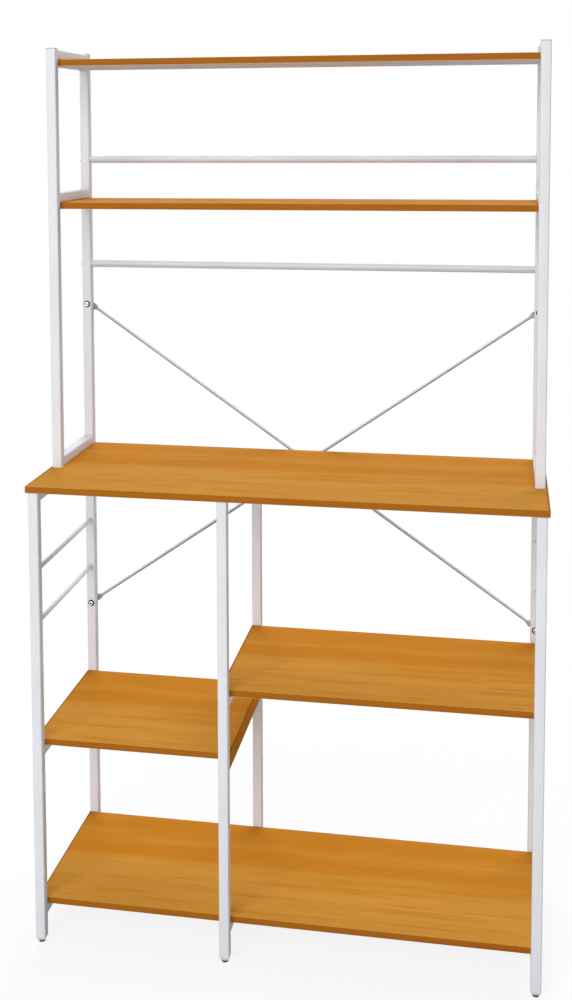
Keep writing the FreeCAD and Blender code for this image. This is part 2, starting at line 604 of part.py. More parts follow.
def make_fasteners():
    """Bolts, nuts, washers, the rivet and the screws, each kind a group of copies."""
    grip = "(Sizes.tube + 2 * Sizes.brace_flat + Sizes.nut_height)"
    front_face = f"({BACK} - Sizes.tube)"
    bolts = []
    for side in SIDES:
        line = FRAME_LINE[side]
        for height in (POST_BOLT, "Sizes.brace_leg_height"):
            bolts.append((line, front_face, height, TOWARDS_FRONT))
    for name in ("upper", "lower"):
        height = f"(Sizes.desk_height + Sizes.{name}_rail_rise)"
        bolts.append((f"(-{SIDE_LINE} - {HALF_TUBE})", REAR_LINE, height, TOWARDS_LEFT))
        bolts.append((f"({SIDE_LINE} + {HALF_TUBE})", REAR_LINE, height, ALONG_X))
    group("frame_bolts", button_bolt("frame_bolt_master", grip), bolts)

    stack = "(Sizes.tube + Sizes.board + Sizes.tube_wall + Sizes.nut_height)"
    spots = [(FRAME_LINE[side], line) for side in SIDES for line in HUTCH_BOLT_LINES]
    bolt_seat = f"({DESK_UNDER} - Sizes.tube)"
    group("hutch_bolts", button_bolt("hutch_bolt_master", stack),
          [(x, y, bolt_seat, TURNED_OVER) for x, y in spots])

    one_flat = f"({BACK} + Sizes.brace_flat)"
    two_flats = f"({BACK} + 2 * Sizes.brace_flat)"
    brace_ends = {("left", POST_BOLT): one_flat, ("right", "Sizes.brace_leg_height"): one_flat,
                  ("right", POST_BOLT): two_flats, ("left", "Sizes.brace_leg_height"): two_flats}
    nuts = [(FRAME_LINE[side], seat, height, ALONG_Y) for (side, height), seat in brace_ends.items()]
    nuts += [(x, y, "(Sizes.desk_height + Sizes.tube_wall)", UPRIGHT) for x, y in spots]
    group("nuts", make_nut(), nuts)

    rim = "Sizes.spacer_diameter / 2"
    spacer = turned("spacer_master", [(BOLT_HOLE, "0"), (rim, "0"), (rim, "Sizes.brace_flat"),
                                      (BOLT_HOLE, "Sizes.brace_flat")])
    group("brace_spacers", spacer, [(FRAME_LINE[side], BACK, height, ALONG_Y)
                                    for (side, height), seat in brace_ends.items() if seat == two_flats])

    shank = "Sizes.rivet_diameter / 2"
    head = "Sizes.rivet_head_diameter / 2"
    crown = f"({head} - Sizes.rivet_head_height)"
    far = "(2 * Sizes.brace_flat)"
    far_crown = f"({far} + Sizes.rivet_head_height)"
    rivet = turned("brace_rivet", [
        ("0", "-Sizes.rivet_head_height"), (crown, "-Sizes.rivet_head_height"), (head, "0"), (shank, "0"),
        (shank, far), (head, far), (crown, far_crown), ("0", far_crown)])
    keep(place(rivet, "0", BACK, BRACE_CROSSING, ALONG_Y))

    screws = []
    for side, bars in LOWER_BARS.items():
        for name, top in bars.items():
            along = DESK_SCREWS if name == "desk" else LOWER_SCREWS
            under = f"({top} - Sizes.tube)"
            lines = [f"({LOWER_BAR_FRONT} + {spot})" for spot in along]
            screws += [(FRAME_LINE[side], line, under, TURNED_OVER) for line in lines]
    long_screw = pan_screw("board_screw_master", "(Sizes.tube + Sizes.screw_bite)")
    group("board_screws", long_screw, screws)

    short_screw = pan_screw("hutch_screw_master", "(Sizes.board + Sizes.screw_bite)")
    group("hutch_shelf_screws", short_screw,
          [(FRAME_LINE[side], f"({HUTCH_BAR_FRONT} + {spot})", f"({shelf} - Sizes.board)", TURNED_OVER)
           for shelf in (HUTCH_SHELF, TOP_SHELF) for side in SIDES for spot in HUTCH_SCREWS])


def insert_side():
    """The side and corner of a plug that slides into the tube."""
    gap = "(Sizes.tube_wall + Sizes.plug_clearance)"
    return f"(Sizes.tube - 2 * {gap})", f"max(Sizes.tube_corner - {gap}; Sizes.least_corner)"


def make_plugs():
    """Leg plugs with a tapered foot, and flat caps in the tops of the posts."""
    plug = new_body("plug_master")
    sketch = new_sketch(plug, "XY_Plane")
    draw_square(sketch, *insert_side())
    pad(plug, sketch, "Sizes.plug_length")
    upper = new_sketch(plug, "XY_Plane")
    draw_square(upper, "Sizes.tube", "Sizes.tube_corner")
    lower = new_sketch(plug, "XY_Plane")
    lower.setExpression("AttachmentOffset.Base.z", "-Sizes.plug_foot")
    draw_square(lower, "Sizes.plug_foot_side", "Sizes.tube_corner")
    foot = plug.newObject("PartDesign::AdditiveLoft", "Foot")
    foot.Profile = upper
    foot.Sections = [lower]
    foot.Ruled = True
    stud_hole = "(Sizes.stud_diameter / 2 + Sizes.stud_clearance)"
    drill(plug, "XY_Plane", [("0", "0")], stud_hole, sides="Symmetric")
    group("leg_plugs", plug, [(line, y, LEG_BOTTOM, UPRIGHT) for line in FRAME_LINE.values()
                              for y in (LEG_LINE, REAR_LINE)])

    cap = new_body("cap_master")
    sketch = new_sketch(cap, "XY_Plane")
    draw_square(sketch, "Sizes.tube", "Sizes.tube_corner")
    pad(cap, sketch, "Sizes.cap_flange")
    sketch = new_sketch(cap, "XY_Plane")
    draw_square(sketch, *insert_side())
    pad(cap, sketch, "Sizes.cap_length", downwards=True)
    group("post_caps", cap, [(FRAME_LINE[side], y, POST_TOP, UPRIGHT) for side in SIDES
                             for y in (POST_LINE, REAR_LINE)])


def make_feet():
    """Six levelling feet: a pad on a stud that screws into the leg's plug."""
    rim = "Sizes.pad_diameter / 2"
    seat = "(Sizes.stud_diameter / 2 + Sizes.stud_clearance)"
    floor = "(Sizes.pad_height - Sizes.stud_seat)"
    stud = "Sizes.stud_diameter / 2"
    tip = "(Sizes.stud_length - Sizes.stud_diameter / 4)"
    for side, line in FRAME_LINE.items():
        for end, y in (("front", LEG_LINE), ("back", REAR_LINE)):
            pad_body = turned(f"{side}_{end}_foot_pad", [
                ("0", "0"), (f"({rim} - Sizes.pad_arris)", "0"), (rim, "Sizes.pad_arris"),
                (rim, "Sizes.pad_height"), (seat, "Sizes.pad_height"), (seat, floor), ("0", floor)])
            keep(place(pad_body, line, y, "0"))
            stud_body = turned(f"{side}_{end}_foot_stud", [
                ("0", "0"), (stud, "0"), (stud, tip), ("Sizes.stud_diameter / 4", "Sizes.stud_length"),
                ("0", "Sizes.stud_length")])
            keep(place(stud_body, line, y, floor))


def check_and_write():
    """Stops if an object failed, then writes each node's shape."""
    document.recompute()
    for thing in document.Objects:
        if "Invalid" in thing.State or "Error" in thing.State:
            raise RuntimeError(f"{thing.Name} is {thing.State}")
    for node in nodes:
        shape = node.Shape
        if shape.isNull() or not shape.isValid() or not shape.Solids:
            raise RuntimeError(f"{node.Label} has no sound shape")
    os.makedirs("parts", exist_ok=True)
    for node in nodes:
        node.Shape.exportStep(f"parts/{node.Label}.step")
        print(f"{node.Label}: {len(node.Shape.Solids)} solids, {node.Shape.Volume:.0f} mm3")


make_legs()
make_lower_bars()
make_hook_rods()
make_boards()
make_hutch_frames()
make_rails()
make_braces()
make_fasteners()
make_plugs()
make_feet()
check_and_write()
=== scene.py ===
"""Looks of a kitchen shelf: white tube frames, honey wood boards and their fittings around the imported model.

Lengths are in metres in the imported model's frame: +Z is up, +X is to the right, and the front faces -Y.
"""

import logging
import math
from abc import ABC, abstractmethod
from collections.abc import Iterable, Sequence
from dataclasses import dataclass, replace
from enum import Enum

import bmesh
import bpy
from bmesh.types import BMEdge, BMesh, BMFace, BMVert
from mathutils import Matrix, Vector


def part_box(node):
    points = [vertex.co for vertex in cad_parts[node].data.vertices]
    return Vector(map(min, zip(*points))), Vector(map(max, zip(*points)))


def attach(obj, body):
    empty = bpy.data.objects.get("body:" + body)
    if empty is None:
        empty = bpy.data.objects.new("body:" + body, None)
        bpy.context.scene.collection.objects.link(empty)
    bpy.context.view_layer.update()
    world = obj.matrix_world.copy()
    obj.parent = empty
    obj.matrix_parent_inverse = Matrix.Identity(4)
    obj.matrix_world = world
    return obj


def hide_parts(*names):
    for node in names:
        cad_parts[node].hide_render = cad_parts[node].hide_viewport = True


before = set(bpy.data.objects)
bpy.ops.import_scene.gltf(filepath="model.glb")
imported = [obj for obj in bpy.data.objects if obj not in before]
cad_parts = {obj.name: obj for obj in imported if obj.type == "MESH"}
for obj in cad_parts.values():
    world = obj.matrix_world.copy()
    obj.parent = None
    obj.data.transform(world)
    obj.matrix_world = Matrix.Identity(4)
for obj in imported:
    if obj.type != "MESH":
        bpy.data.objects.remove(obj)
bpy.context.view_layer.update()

log = logging.getLogger("kitchen_shelf")

MM = 0.001
RACK = "rack"
EDGE_LAYER = "edge"
MERGE_DISTANCE = 0.002 * MM
PLACE_DIGITS = 4
# Least cosines: of an edge along an axis, of a face square to a direction and of one that is turned to it
ALONG_AXIS = 0.99
SQUARE_ON = 0.95
TURNED_TO = 0.7
VECTOR = "NodeSocketVector"
FLOAT = "NodeSocketFloat"

Colour = tuple[float, float, float]
Place = tuple[float, float, float]
Span = tuple[float, float]
Socket = bpy.types.NodeSocket
Value = Socket | float | Sequence[float]


class Slot(Enum):
    """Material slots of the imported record."""

    PAINT = "frame_paint"
    BOARD = "board"
    ZINC = "zinc"
    WHITE = "white_plastic"
    GLIDE = "glide"


class Way(Enum):
    """Directions along the frame's axes."""

    LEFT = (-1.0, 0.0, 0.0)
    RIGHT = (1.0, 0.0, 0.0)
    FRONT = (0.0, -1.0, 0.0)
    BACK = (0.0, 1.0, 0.0)
    DOWN = (0.0, 0.0, -1.0)
    UP = (0.0, 0.0, 1.0)

    @property
    def vector(self) -> Vector:
        """The direction as a vector."""
        return Vector(self.value)

    @property
    def axis(self) -> int:
        """The index of the axis that the direction follows."""
        return max(range(3), key=lambda axis: abs(self.value[axis]))


class Side(Enum):
    """Side frames of the shelf."""

    LEFT = "left"
    MIDDLE = "middle"
    RIGHT = "right"


@dataclass(frozen=True)
class Box:
    """An upright box between its lowest and its highest corner."""

    low: Vector
    high: Vector

    @property
    def centre(self) -> Vector:
        """The middle of the box."""
        return (self.low + self.high) / 2

    @property
    def size(self) -> Vector:
        """The lengths of the box's sides."""
        return self.high - self.low

    @property
    def long_axis(self) -> int:
        """The index of the longest side."""
        return max(range(3), key=lambda axis: self.size[axis])

    @property
    def short_axis(self) -> int:
        """The index of the shortest side."""
        return min(range(3), key=lambda axis: self.size[axis])


def box_of(node: str) -> Box:
    """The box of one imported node."""
    return Box(*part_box(node))


def solids_of(node: str) -> list[Box]:
    """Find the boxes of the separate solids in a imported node.

    Args:
        node: Name of a node that groups several solids.

    Returns:
        One box for each solid, ordered by place.
    """
    bm = bmesh.new()
    bm.from_mesh(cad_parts[node].data)
    bmesh.ops.remove_doubles(bm, verts=bm.verts[:], dist=MERGE_DISTANCE)
    unseen = set(bm.verts)
    boxes = []
    while unseen:
        waiting = [unseen.pop()]
        corners = []
        while waiting:
            vert = waiting.pop()
            corners.append(vert.co.copy())
            near = {edge.other_vert(vert) for edge in vert.link_edges} & unseen
            unseen -= near
            waiting.extend(near)
        low = Vector(min(corner[axis] for corner in corners) for axis in range(3))
        high = Vector(max(corner[axis] for corner in corners) for axis in range(3))
        boxes.append(Box(low, high))
    bm.free()
    return sorted(boxes, key=lambda box: tuple(round(length, PLACE_DIGITS) for length in box.centre))


def turn_to(direction: Vector) -> Matrix:
    """The turn that brings +Z to a direction."""
    return Way.UP.vector.rotation_difference(direction).to_matrix().to_4x4()


def verts_in(geometry: Iterable[object]) -> list[BMVert]:
    """The vertices among what an operator made."""
    return [item for item in geometry if isinstance(item, BMVert)]


def quarter_round(foot: Span, crown: Span, steps: int) -> list[Span]:
    """Draw a quarter of an ellipse that starts upright at its foot and ends level at its crown.

    Args:
        foot: Radius and height of the foot.
        crown: Radius and height of the crown.
        steps: Number of points.

    Returns:
        Radius and height of each point after the foot, up to the crown.
    """
    fall, rise = foot[0] - crown[0], crown[1] - foot[1]
    angles = [0.5 * math.pi * step / steps for step in range(1, steps + 1)]
    return [(crown[0] + fall * math.cos(angle), foot[1] + rise * math.sin(angle)) for angle in angles]


@dataclass(frozen=True)
class Station:
    """A cross section of a swept bar.

    The flatness presses the round of the section: 1 leaves an ellipse, and more gives it flat faces.
    """

    along: float
    half_width: float
    half_depth: float
    offset: float = 0.0
    flatness: float = 1.0

    def settle(self, verts: Iterable[BMVert], before: "Station") -> None:
        """Move a ring of vertices from the section before to this one.

        Args:
            verts: The ring's vertices, still in the place of the section before.
            before: The section that the vertices come from.
        """
        for vert in verts:
            across = max(-1.0, min(1.0, vert.co.x / before.half_width))
            up = math.copysign(math.sqrt(1.0 - across * across), vert.co.y - before.offset)
            pressed = max(-1.0, min(1.0, up * self.flatness))
            vert.co = (across * self.half_width, self.offset + pressed * self.half_depth, self.along)


class Shape:
    """A mesh under construction, with the moves that the pieces need."""

    def __init__(self) -> None:
        """Start with an empty mesh that can mark its rounded edges."""
        self.bm: BMesh = bmesh.new()
        self.bm.verts.layers.float.new(EDGE_LAYER)

    @classmethod
    def block(cls, box: Box) -> "Shape":
        """A plain block that fills a box.

        Args:
            box: The box to fill.

        Returns:
            The block's shape.
        """
        shape = cls()
        verts = bmesh.ops.create_cube(shape.bm, size=1.0)["verts"]
        bmesh.ops.scale(shape.bm, vec=box.size, verts=verts)
        bmesh.ops.translate(shape.bm, vec=box.centre, verts=verts)
        return shape

    @classmethod
    def rod(cls, length: float, radius: float, sides: int, arris: float) -> "Shape":
        """A round rod along Z, centred on the origin, with eased ends.

        Args:
            length: Length of the rod.
            radius: Radius of the rod.
            sides: Number of faces around it.
            arris: Easing of its two rims.

        Returns:
            The rod's shape.
        """
        shape = cls()
        bmesh.ops.create_cone(shape.bm, cap_ends=True, segments=sides, radius1=radius, radius2=radius,
                              depth=length)
        return shape.round_edges(shape.level_edges(), arris)

    @classmethod
    def lathe(cls, profile: Sequence[Span], steps: int, turns: int = 1, pitch: float = 0.0) -> "Shape":
        """Turn a profile about Z, or wind it up along Z.

        Args:
            profile: Radius and height of each corner, in order.
            steps: Number of faces around the axis.
            turns: Number of turns.
            pitch: Rise of each turn.

        Returns:
            The turned shape.
        """
        shape = cls()
        verts = [shape.bm.verts.new((radius, 0.0, height)) for radius, height in profile]
        edges = [shape.bm.edges.new(pair) for pair in zip(verts, verts[1:])]
        bmesh.ops.spin(shape.bm, geom=verts + edges, cent=(0, 0, 0), axis=(0, 0, 1),
                       dvec=(0, 0, pitch / steps), angle=turns * math.tau, steps=turns * steps,
                       use_merge=pitch == 0.0, use_duplicate=False)
        return shape.heal()

    @classmethod
    def sweep(cls, stations: Sequence[Station], sides: int) -> "Shape":
        """Draw a bar along Z through its cross sections and close its ends.

        Args:
            stations: The cross sections, in order along Z.
            sides: Number of corners of each section.

        Returns:
            The swept shape.
        """
        shape = cls()
        verts = bmesh.ops.create_circle(shape.bm, cap_ends=False, segments=sides, radius=1.0)["verts"]
        start = edges = shape.bm.edges[:]
        before = stations[0]
        before.settle(verts, Station(0.0, 1.0, 1.0))
        for station in stations[1:]:
            grown = bmesh.ops.extrude_edge_only(shape.bm, edges=edges)["geom"]
            verts = verts_in(grown)
            ring = set(verts)
            edges = [item for item in grown if isinstance(item, BMEdge) and set(item.verts) <= ring]
            station.settle(verts, before)
            before = station
        for rim in (start, edges):
            bmesh.ops.edgeloop_fill(shape.bm, edges=rim)
        return shape.heal()

    def level_edges(self) -> list[BMEdge]:
        """The edges that lie level."""
        return [edge for edge in self.bm.edges
                if abs(edge.verts[0].co.z - edge.verts[1].co.z) < MERGE_DISTANCE]

    def edges_along(self, axis: int) -> list[BMEdge]:
        """The edges that follow an axis."""
        return [edge for edge in self.bm.edges
                if abs((edge.verts[1].co - edge.verts[0].co).normalized()[axis]) > ALONG_AXIS]

    def open_edges(self) -> list[BMEdge]:
        """The edges round the openings."""
        return [edge for edge in self.bm.edges if edge.is_boundary]

    def faces_towards(self, way: Way, least: float = TURNED_TO) -> list[BMFace]:
        """The faces that look in a direction, with the least cosine between it and their normals."""
        self.bm.normal_update()
        return [face for face in self.bm.faces if face.normal.dot(way.vector) > least]

    def round_edges(self, edges: Sequence[BMEdge], radius: float, segments: int = 2) -> "Shape":
        """Round edges and mark the middle of each rounding for edge wear.

        Args:
            edges: The edges to round.
            radius: Radius of the rounding.
            segments: Number of faces across it.

        Returns:
            This shape.
        """
        made = bmesh.ops.bevel(self.bm, geom=list(edges), offset=radius, offset_type="OFFSET",
                               segments=segments, profile=0.5, affect="EDGES", material=-1)
        rounding = set(made["faces"])
        layer = self.bm.verts.layers.float[EDGE_LAYER]
        for vert in made["verts"]:
            if all(face in rounding for face in vert.link_faces):
                vert[layer] = 1.0
        return self

    def pull(self, faces: Sequence[BMFace], rise: float) -> list[BMVert]:
        """Draw faces up or down out of the shape, with walls behind them.

        Args:
            faces: The faces to draw.
            rise: How far they go up.

        Returns:
            The vertices that moved.
        """
        verts = verts_in(bmesh.ops.extrude_face_region(self.bm, geom=list(faces))["geom"])
        bmesh.ops.translate(self.bm, vec=(0.0, 0.0, rise), verts=verts)
        return verts

    def slice(self, way: Way, place: Sequence[float], clear: bool = False) -> None:
        """Cut all faces along a plane; clear takes away what lies beyond it."""
        geometry = self.bm.verts[:] + self.bm.edges[:] + self.bm.faces[:]
        bmesh.ops.bisect_plane(self.bm, geom=geometry, plane_co=place, plane_no=way.vector, clear_outer=clear)

    def thicken(self, wall: float) -> "Shape":
        """Give an open skin a wall on its inside.

        Args:
            wall: Thickness of the wall.

        Returns:
            This shape.
        """
        self.heal()
        bmesh.ops.solidify(self.bm, geom=self.bm.faces[:], thickness=wall)
        return self

    def heal(self) -> "Shape":
        """Merge doubles and turn the faces outwards.

        Returns:
            This shape.
        """
        bmesh.ops.remove_doubles(self.bm, verts=self.bm.verts[:], dist=MERGE_DISTANCE)
        bmesh.ops.recalc_face_normals(self.bm, faces=self.bm.faces[:])
        return self

    def move(self, matrix: Matrix) -> "Shape":
        """Move or turn the whole shape."""
        bmesh.ops.transform(self.bm, matrix=matrix, verts=self.bm.verts[:])
        return self

    def stand(self, way: Way, place: Vector) -> "Shape":
        """Point the shape's +Z in a direction and set its origin at a place."""
        return self.move(Matrix.Translation(place) @ turn_to(way.vector))

    def add(self, other: "Shape") -> "Shape":
        """Take over the mesh of another shape.

        Args:
            other: The other shape, which is used up.

        Returns:
            This shape.
        """
        mesh = bpy.data.meshes.new("joined")
        other.bm.to_mesh(mesh)
        other.bm.free()
        self.bm.from_mesh(mesh)
        bpy.data.meshes.remove(mesh)
        return self


def rgba(colour: Colour) -> tuple[float, float, float, float]:
    """A colour with full alpha."""
    return (*colour, 1.0)


def link(thing: bpy.types.Object) -> None:
    """Put an object in the scene."""
    bpy.context.scene.collection.objects.link(thing)


class Graph:
    """A node tree with short calls for the nodes that the finishes use."""

    MIX_FACTOR, MIX_FIRST, MIX_SECOND, MIX_RESULT = 0, 6, 7, 2
    RAMP_MIDDLE = 0.5

    def __init__(self, tree: bpy.types.NodeTree) -> None:
        """Work on one node tree."""
        self.tree = tree

    def add(self, kind: str, inputs: dict[str | int, Value] | None = None,
            **settings: object) -> bpy.types.Node:
        """Add a node, set its properties and feed its inputs.

        Args:
            kind: The node's type.
            inputs: Links and constants for its inputs, by name or number.
            settings: Its properties by name.

        Returns:
            The new node.
        """
        node = self.tree.nodes.new(kind)
        for name, setting in settings.items():
            setattr(node, name, setting)
        for label, value in (inputs or {}).items():
            self.feed(node.inputs[label], value)
        return node

    def feed(self, socket: Socket, value: Value) -> None:
        """Give an input a link or a constant.

        Args:
            socket: The input.
            value: An output to link, or a constant.
        """
        if isinstance(value, Socket):
            self.tree.links.new(value, socket)
        else:
            socket.default_value = value

    def object_place(self) -> Socket:
        """The place on the object."""
        return self.add("ShaderNodeTexCoord").outputs["Object"]

    def attribute(self, name: str) -> Socket:
        """A value that the mesh carries."""
        return self.add("ShaderNodeAttribute", attribute_name=name).outputs["Fac"]

    def normal(self) -> Socket:
        """The surface's own normal."""
        return self.add("ShaderNodeNewGeometry").outputs["Normal"]

    def part(self, vector: Value, axis: str) -> Socket:
        """One component of a vector."""
        return self.add("ShaderNodeSeparateXYZ", {0: vector}).outputs[axis]

    def mapping(self, place: Value, location: Sequence[float] = (0, 0, 0),
                scale: Sequence[float] = (1, 1, 1)) -> Socket:
        """Scale a place on each axis and then shift it."""
        inputs = {"Vector": place, "Location": location, "Scale": scale}
        return self.add("ShaderNodeMapping", inputs).outputs["Vector"]

    def noise(self, place: Value, scale: Value = 1.0, detail: float = 2.0, roughness: float = 0.5) -> Socket:
        """Soft noise between 0 and 1, with a fineness, a number of finer layers and their weight."""
        inputs = {"Vector": place, "Scale": scale, "Detail": detail, "Roughness": roughness}
        return self.add("ShaderNodeTexNoise", inputs).outputs["Fac"]

    def math(self, operation: str, first: Value, second: Value) -> Socket:
        """One arithmetic step with two operands."""
        return self.add("ShaderNodeMath", {0: first, 1: second}, operation=operation).outputs[0]

    def spread(self, value: Value, start: float, end: float, low: float = 0.0, high: float = 1.0) -> Socket:
        """Map the range from start to end smoothly to that from low to high."""
        inputs = {"Value": value, "From Min": start, "From Max": end, "To Min": low, "To Max": high}
        return self.add("ShaderNodeMapRange", inputs, interpolation_type="SMOOTHSTEP").outputs["Result"]

    def ramp(self, value: Value, stops: Sequence[Span]) -> Socket:
        """Draw a smooth curve of grey through its stops.

        Args:
            value: The value to map, from -0.5 to 0.5.
            stops: Value and grey of each stop, in order.

        Returns:
            The grey, from 0 to 1.
        """
        node = self.add("ShaderNodeValToRGB", {0: self.math("ADD", value, self.RAMP_MIDDLE)})
        elements = node.color_ramp.elements
        node.color_ramp.interpolation = "EASE"
        elements.remove(elements[1])
        for index, (spot, grey) in enumerate(stops):
            element = elements[0] if index == 0 else elements.new(spot + self.RAMP_MIDDLE)
            element.position = spot + self.RAMP_MIDDLE
            element.color = rgba((grey, grey, grey))
        return node.outputs[0]

    def blend(self, factor: Value, first: Value, second: Value) -> Socket:
        """Mix two colours: the factor is the share of the second."""
        inputs = {self.MIX_FACTOR: factor, self.MIX_FIRST: first, self.MIX_SECOND: second}
        return self.add("ShaderNodeMix", inputs, data_type="RGBA", clamp_factor=True).outputs[self.MIX_RESULT]

    def cover(self, under: Value, mask: Value, share: float, over: Colour) -> Socket:
        """Lay a share of a colour over another, where a mask of 0 to 1 says so."""
        return self.blend(self.math("MULTIPLY", mask, share), under, rgba(over))

    def bump(self, height: Value, strength: float, distance: float) -> Socket:
        """Bend the normal by a height; the distance is the depth of a height of 1."""
        inputs = {"Strength": strength, "Distance": distance, "Height": height}
        return self.add("ShaderNodeBump", inputs).outputs["Normal"]

    def mix_shaders(self, factor: Value, first: Socket, second: Socket) -> Socket:
        """Mix two shaders: the factor is the share of the second."""
        return self.add("ShaderNodeMixShader", {0: factor, 1: first, 2: second}).outputs[0]


class Effect(ABC):
    """A node group that several finishes share, built once and placed with each finish's own values."""

    name: str
    inputs: dict[str, str]
    outputs: tuple[str, ...]

    @classmethod
    @abstractmethod
    def draw(cls, graph: Graph, start: dict[str, Socket]) -> dict[str, Value]:
        """Build the group's inside.

        Args:
            graph: The group's nodes.
            start: The group's inputs by name.

        Returns:
            What each output gets.
        """

    @classmethod
    def group(cls) -> bpy.types.NodeTree:
        """The effect's node group, made on its first use.

        Returns:
            The group's tree.
        """
        tree = bpy.data.node_groups.get(cls.name)
        if tree is None:
            tree = bpy.data.node_groups.new(cls.name, "ShaderNodeTree")
            for label, kind in cls.inputs.items():
                tree.interface.new_socket(label, in_out="INPUT", socket_type=kind)
            for label in cls.outputs:
                tree.interface.new_socket(label, in_out="OUTPUT", socket_type=FLOAT)
            graph = Graph(tree)
            start = graph.add("NodeGroupInput").outputs
            graph.add("NodeGroupOutput", cls.draw(graph, {label: start[label] for label in cls.inputs}))
        return tree

    @classmethod
    def place(cls, graph: Graph, **values: Value) -> dict[str, Socket]:
        """Put the group in a material with its inputs, and give its outputs by name."""
        node = graph.add("ShaderNodeGroup", values, node_tree=cls.group())
        return {label: node.outputs[label] for label in cls.outputs}


class WoodGrainAndShade(Effect):
    """Wood figure along X: a dark back that is painted shade as well as figure, long streaks, fibres and
    pores.
    """

    name = "wood_grain_and_shade"
    inputs = {"Place": VECTOR, "Depth": FLOAT}
    outputs = ("FigureAndShade", "Streaks", "Fibres", "Pores")
    # Place across the board, from its front at -0.5 to its back at 0.5, and how light the wood is there
    # The dark back half is painted shade as well as grain figure
    BANDS = ((-0.5, 0.95), (-0.36, 1.0), (-0.30, 0.82), (-0.24, 1.0), (-0.08, 0.92), (0.00, 0.62),
             (0.06, 0.12), (0.16, 0.0), (0.20, 0.30), (0.24, 0.60), (0.28, 0.40), (0.33, 0.10), (0.41, 0.06),
             (0.46, 0.28), (0.5, 0.35))
    SWAY = 0.32
    SWAY_FINENESS = (2.6, 16.0, 16.0)
    STREAK_FINENESS = (4.0, 78.0, 78.0)
    FIBRE_FINENESS = (11.0, 620.0, 620.0)
    PORE_FINENESS = (45.0, 1500.0, 1500.0)
    PORE_SPAN = (0.62, 0.74)

    @classmethod
    def draw(cls, graph: Graph, start: dict[str, Socket]) -> dict[str, Value]:
        """Build the figure from stretched noise.

        Args:
            graph: The group's nodes.
            start: The place from the board's middle, and the board's depth.

        Returns:
            The figure and back shade, 0 in the dark wood and 1 in the light; streaks, fibres and pores from 0
            to 1.
        """
        place = start["Place"]
        across = graph.math("DIVIDE", graph.part(place, "Y"), start["Depth"])
        sway = graph.noise(graph.mapping(place, scale=cls.SWAY_FINENESS), detail=4.0, roughness=0.6)
        shift = graph.math("MULTIPLY", graph.math("SUBTRACT", sway, 0.5), cls.SWAY)
        pores = graph.noise(graph.mapping(place, scale=cls.PORE_FINENESS), detail=1.0)
        return {"FigureAndShade": graph.ramp(graph.math("ADD", across, shift), cls.BANDS),
                "Streaks": graph.noise(graph.mapping(place, scale=cls.STREAK_FINENESS), detail=5.0,
                                       roughness=0.62),
                "Fibres": graph.noise(graph.mapping(place, scale=cls.FIBRE_FINENESS)),
                "Pores": graph.spread(pores, *cls.PORE_SPAN)}


class PowderTexture(Effect):
    """Orange peel and faint mottling of a baked powder coat or a moulded skin."""

    name = "powder_texture"
    inputs = {"Place": VECTOR, "Fineness": FLOAT}
    outputs = ("Peel", "Mottle")
    MOTTLE_FINENESS = 9.0
    MOTTLE_SPAN = (0.3, 0.7)

    @classmethod
    def draw(cls, graph: Graph, start: dict[str, Socket]) -> dict[str, Value]:
        """Build the texture from two noises.

        Args:
            graph: The group's nodes.
            start: The place, and the fineness of the peel.

        Returns:
            Peel and mottle, from 0 to 1.
        """
        mottle = graph.noise(start["Place"], cls.MOTTLE_FINENESS, detail=3.0)
        return {"Peel": graph.noise(start["Place"], start["Fineness"], roughness=0.6),
                "Mottle": graph.spread(mottle, *cls.MOTTLE_SPAN)}


class EdgeWear(Effect):
    """Broken wear along the rounded edges that a mesh marks."""

    name = "edge_wear"
    inputs = {"Place": VECTOR, "Edge": FLOAT}
    outputs = ("Wear",)
    PATCH_FINENESS = 60.0
    PATCH_SPAN = (0.35, 0.75)
    EDGE_SPAN = (0.35, 1.0)

    @classmethod
    def draw(cls, graph: Graph, start: dict[str, Socket]) -> dict[str, Value]:
        """Break the mark up with noise.

        Args:
            graph: The group's nodes.
            start: The place, and the mesh's mark of its edges.

        Returns:
            Wear from 0 to 1.
        """
        noise = graph.noise(start["Place"], cls.PATCH_FINENESS, detail=4.0, roughness=0.65)
        patches = graph.spread(noise, *cls.PATCH_SPAN)
        return {"Wear": graph.math("MULTIPLY", patches, graph.spread(start["Edge"], *cls.EDGE_SPAN))}


class UndersideShade(Effect):
    """Painted shade on what faces down: a dark grey that grows towards the underside, broken up by noise."""

    name = "painted_underside_shade"
    inputs = {"Place": VECTOR, "Normal": VECTOR}
    outputs = ("UnderShade",)
    UNDER_SPAN = (0.34, -0.16)
    CLOUD_FINENESS = 35.0
    CLOUD_SPAN = (0.2, 0.8)
    CLOUD_SHARE = (0.75, 1.0)

    @classmethod
    def draw(cls, graph: Graph, start: dict[str, Socket]) -> dict[str, Value]:
        """Paint shade that grows towards the underside, with a soft edge.

        Args:
            graph: The group's nodes.
            start: The place, and the surface's normal.

        Returns:
            Painted shade from 0 to 1.
        """
        under = graph.spread(graph.part(start["Normal"], "Z"), *cls.UNDER_SPAN)
        noise = graph.noise(start["Place"], cls.CLOUD_FINENESS, detail=4.0)
        clouds = graph.spread(noise, *cls.CLOUD_SPAN, *cls.CLOUD_SHARE)
        return {"UnderShade": graph.math("MULTIPLY", under, clouds)}


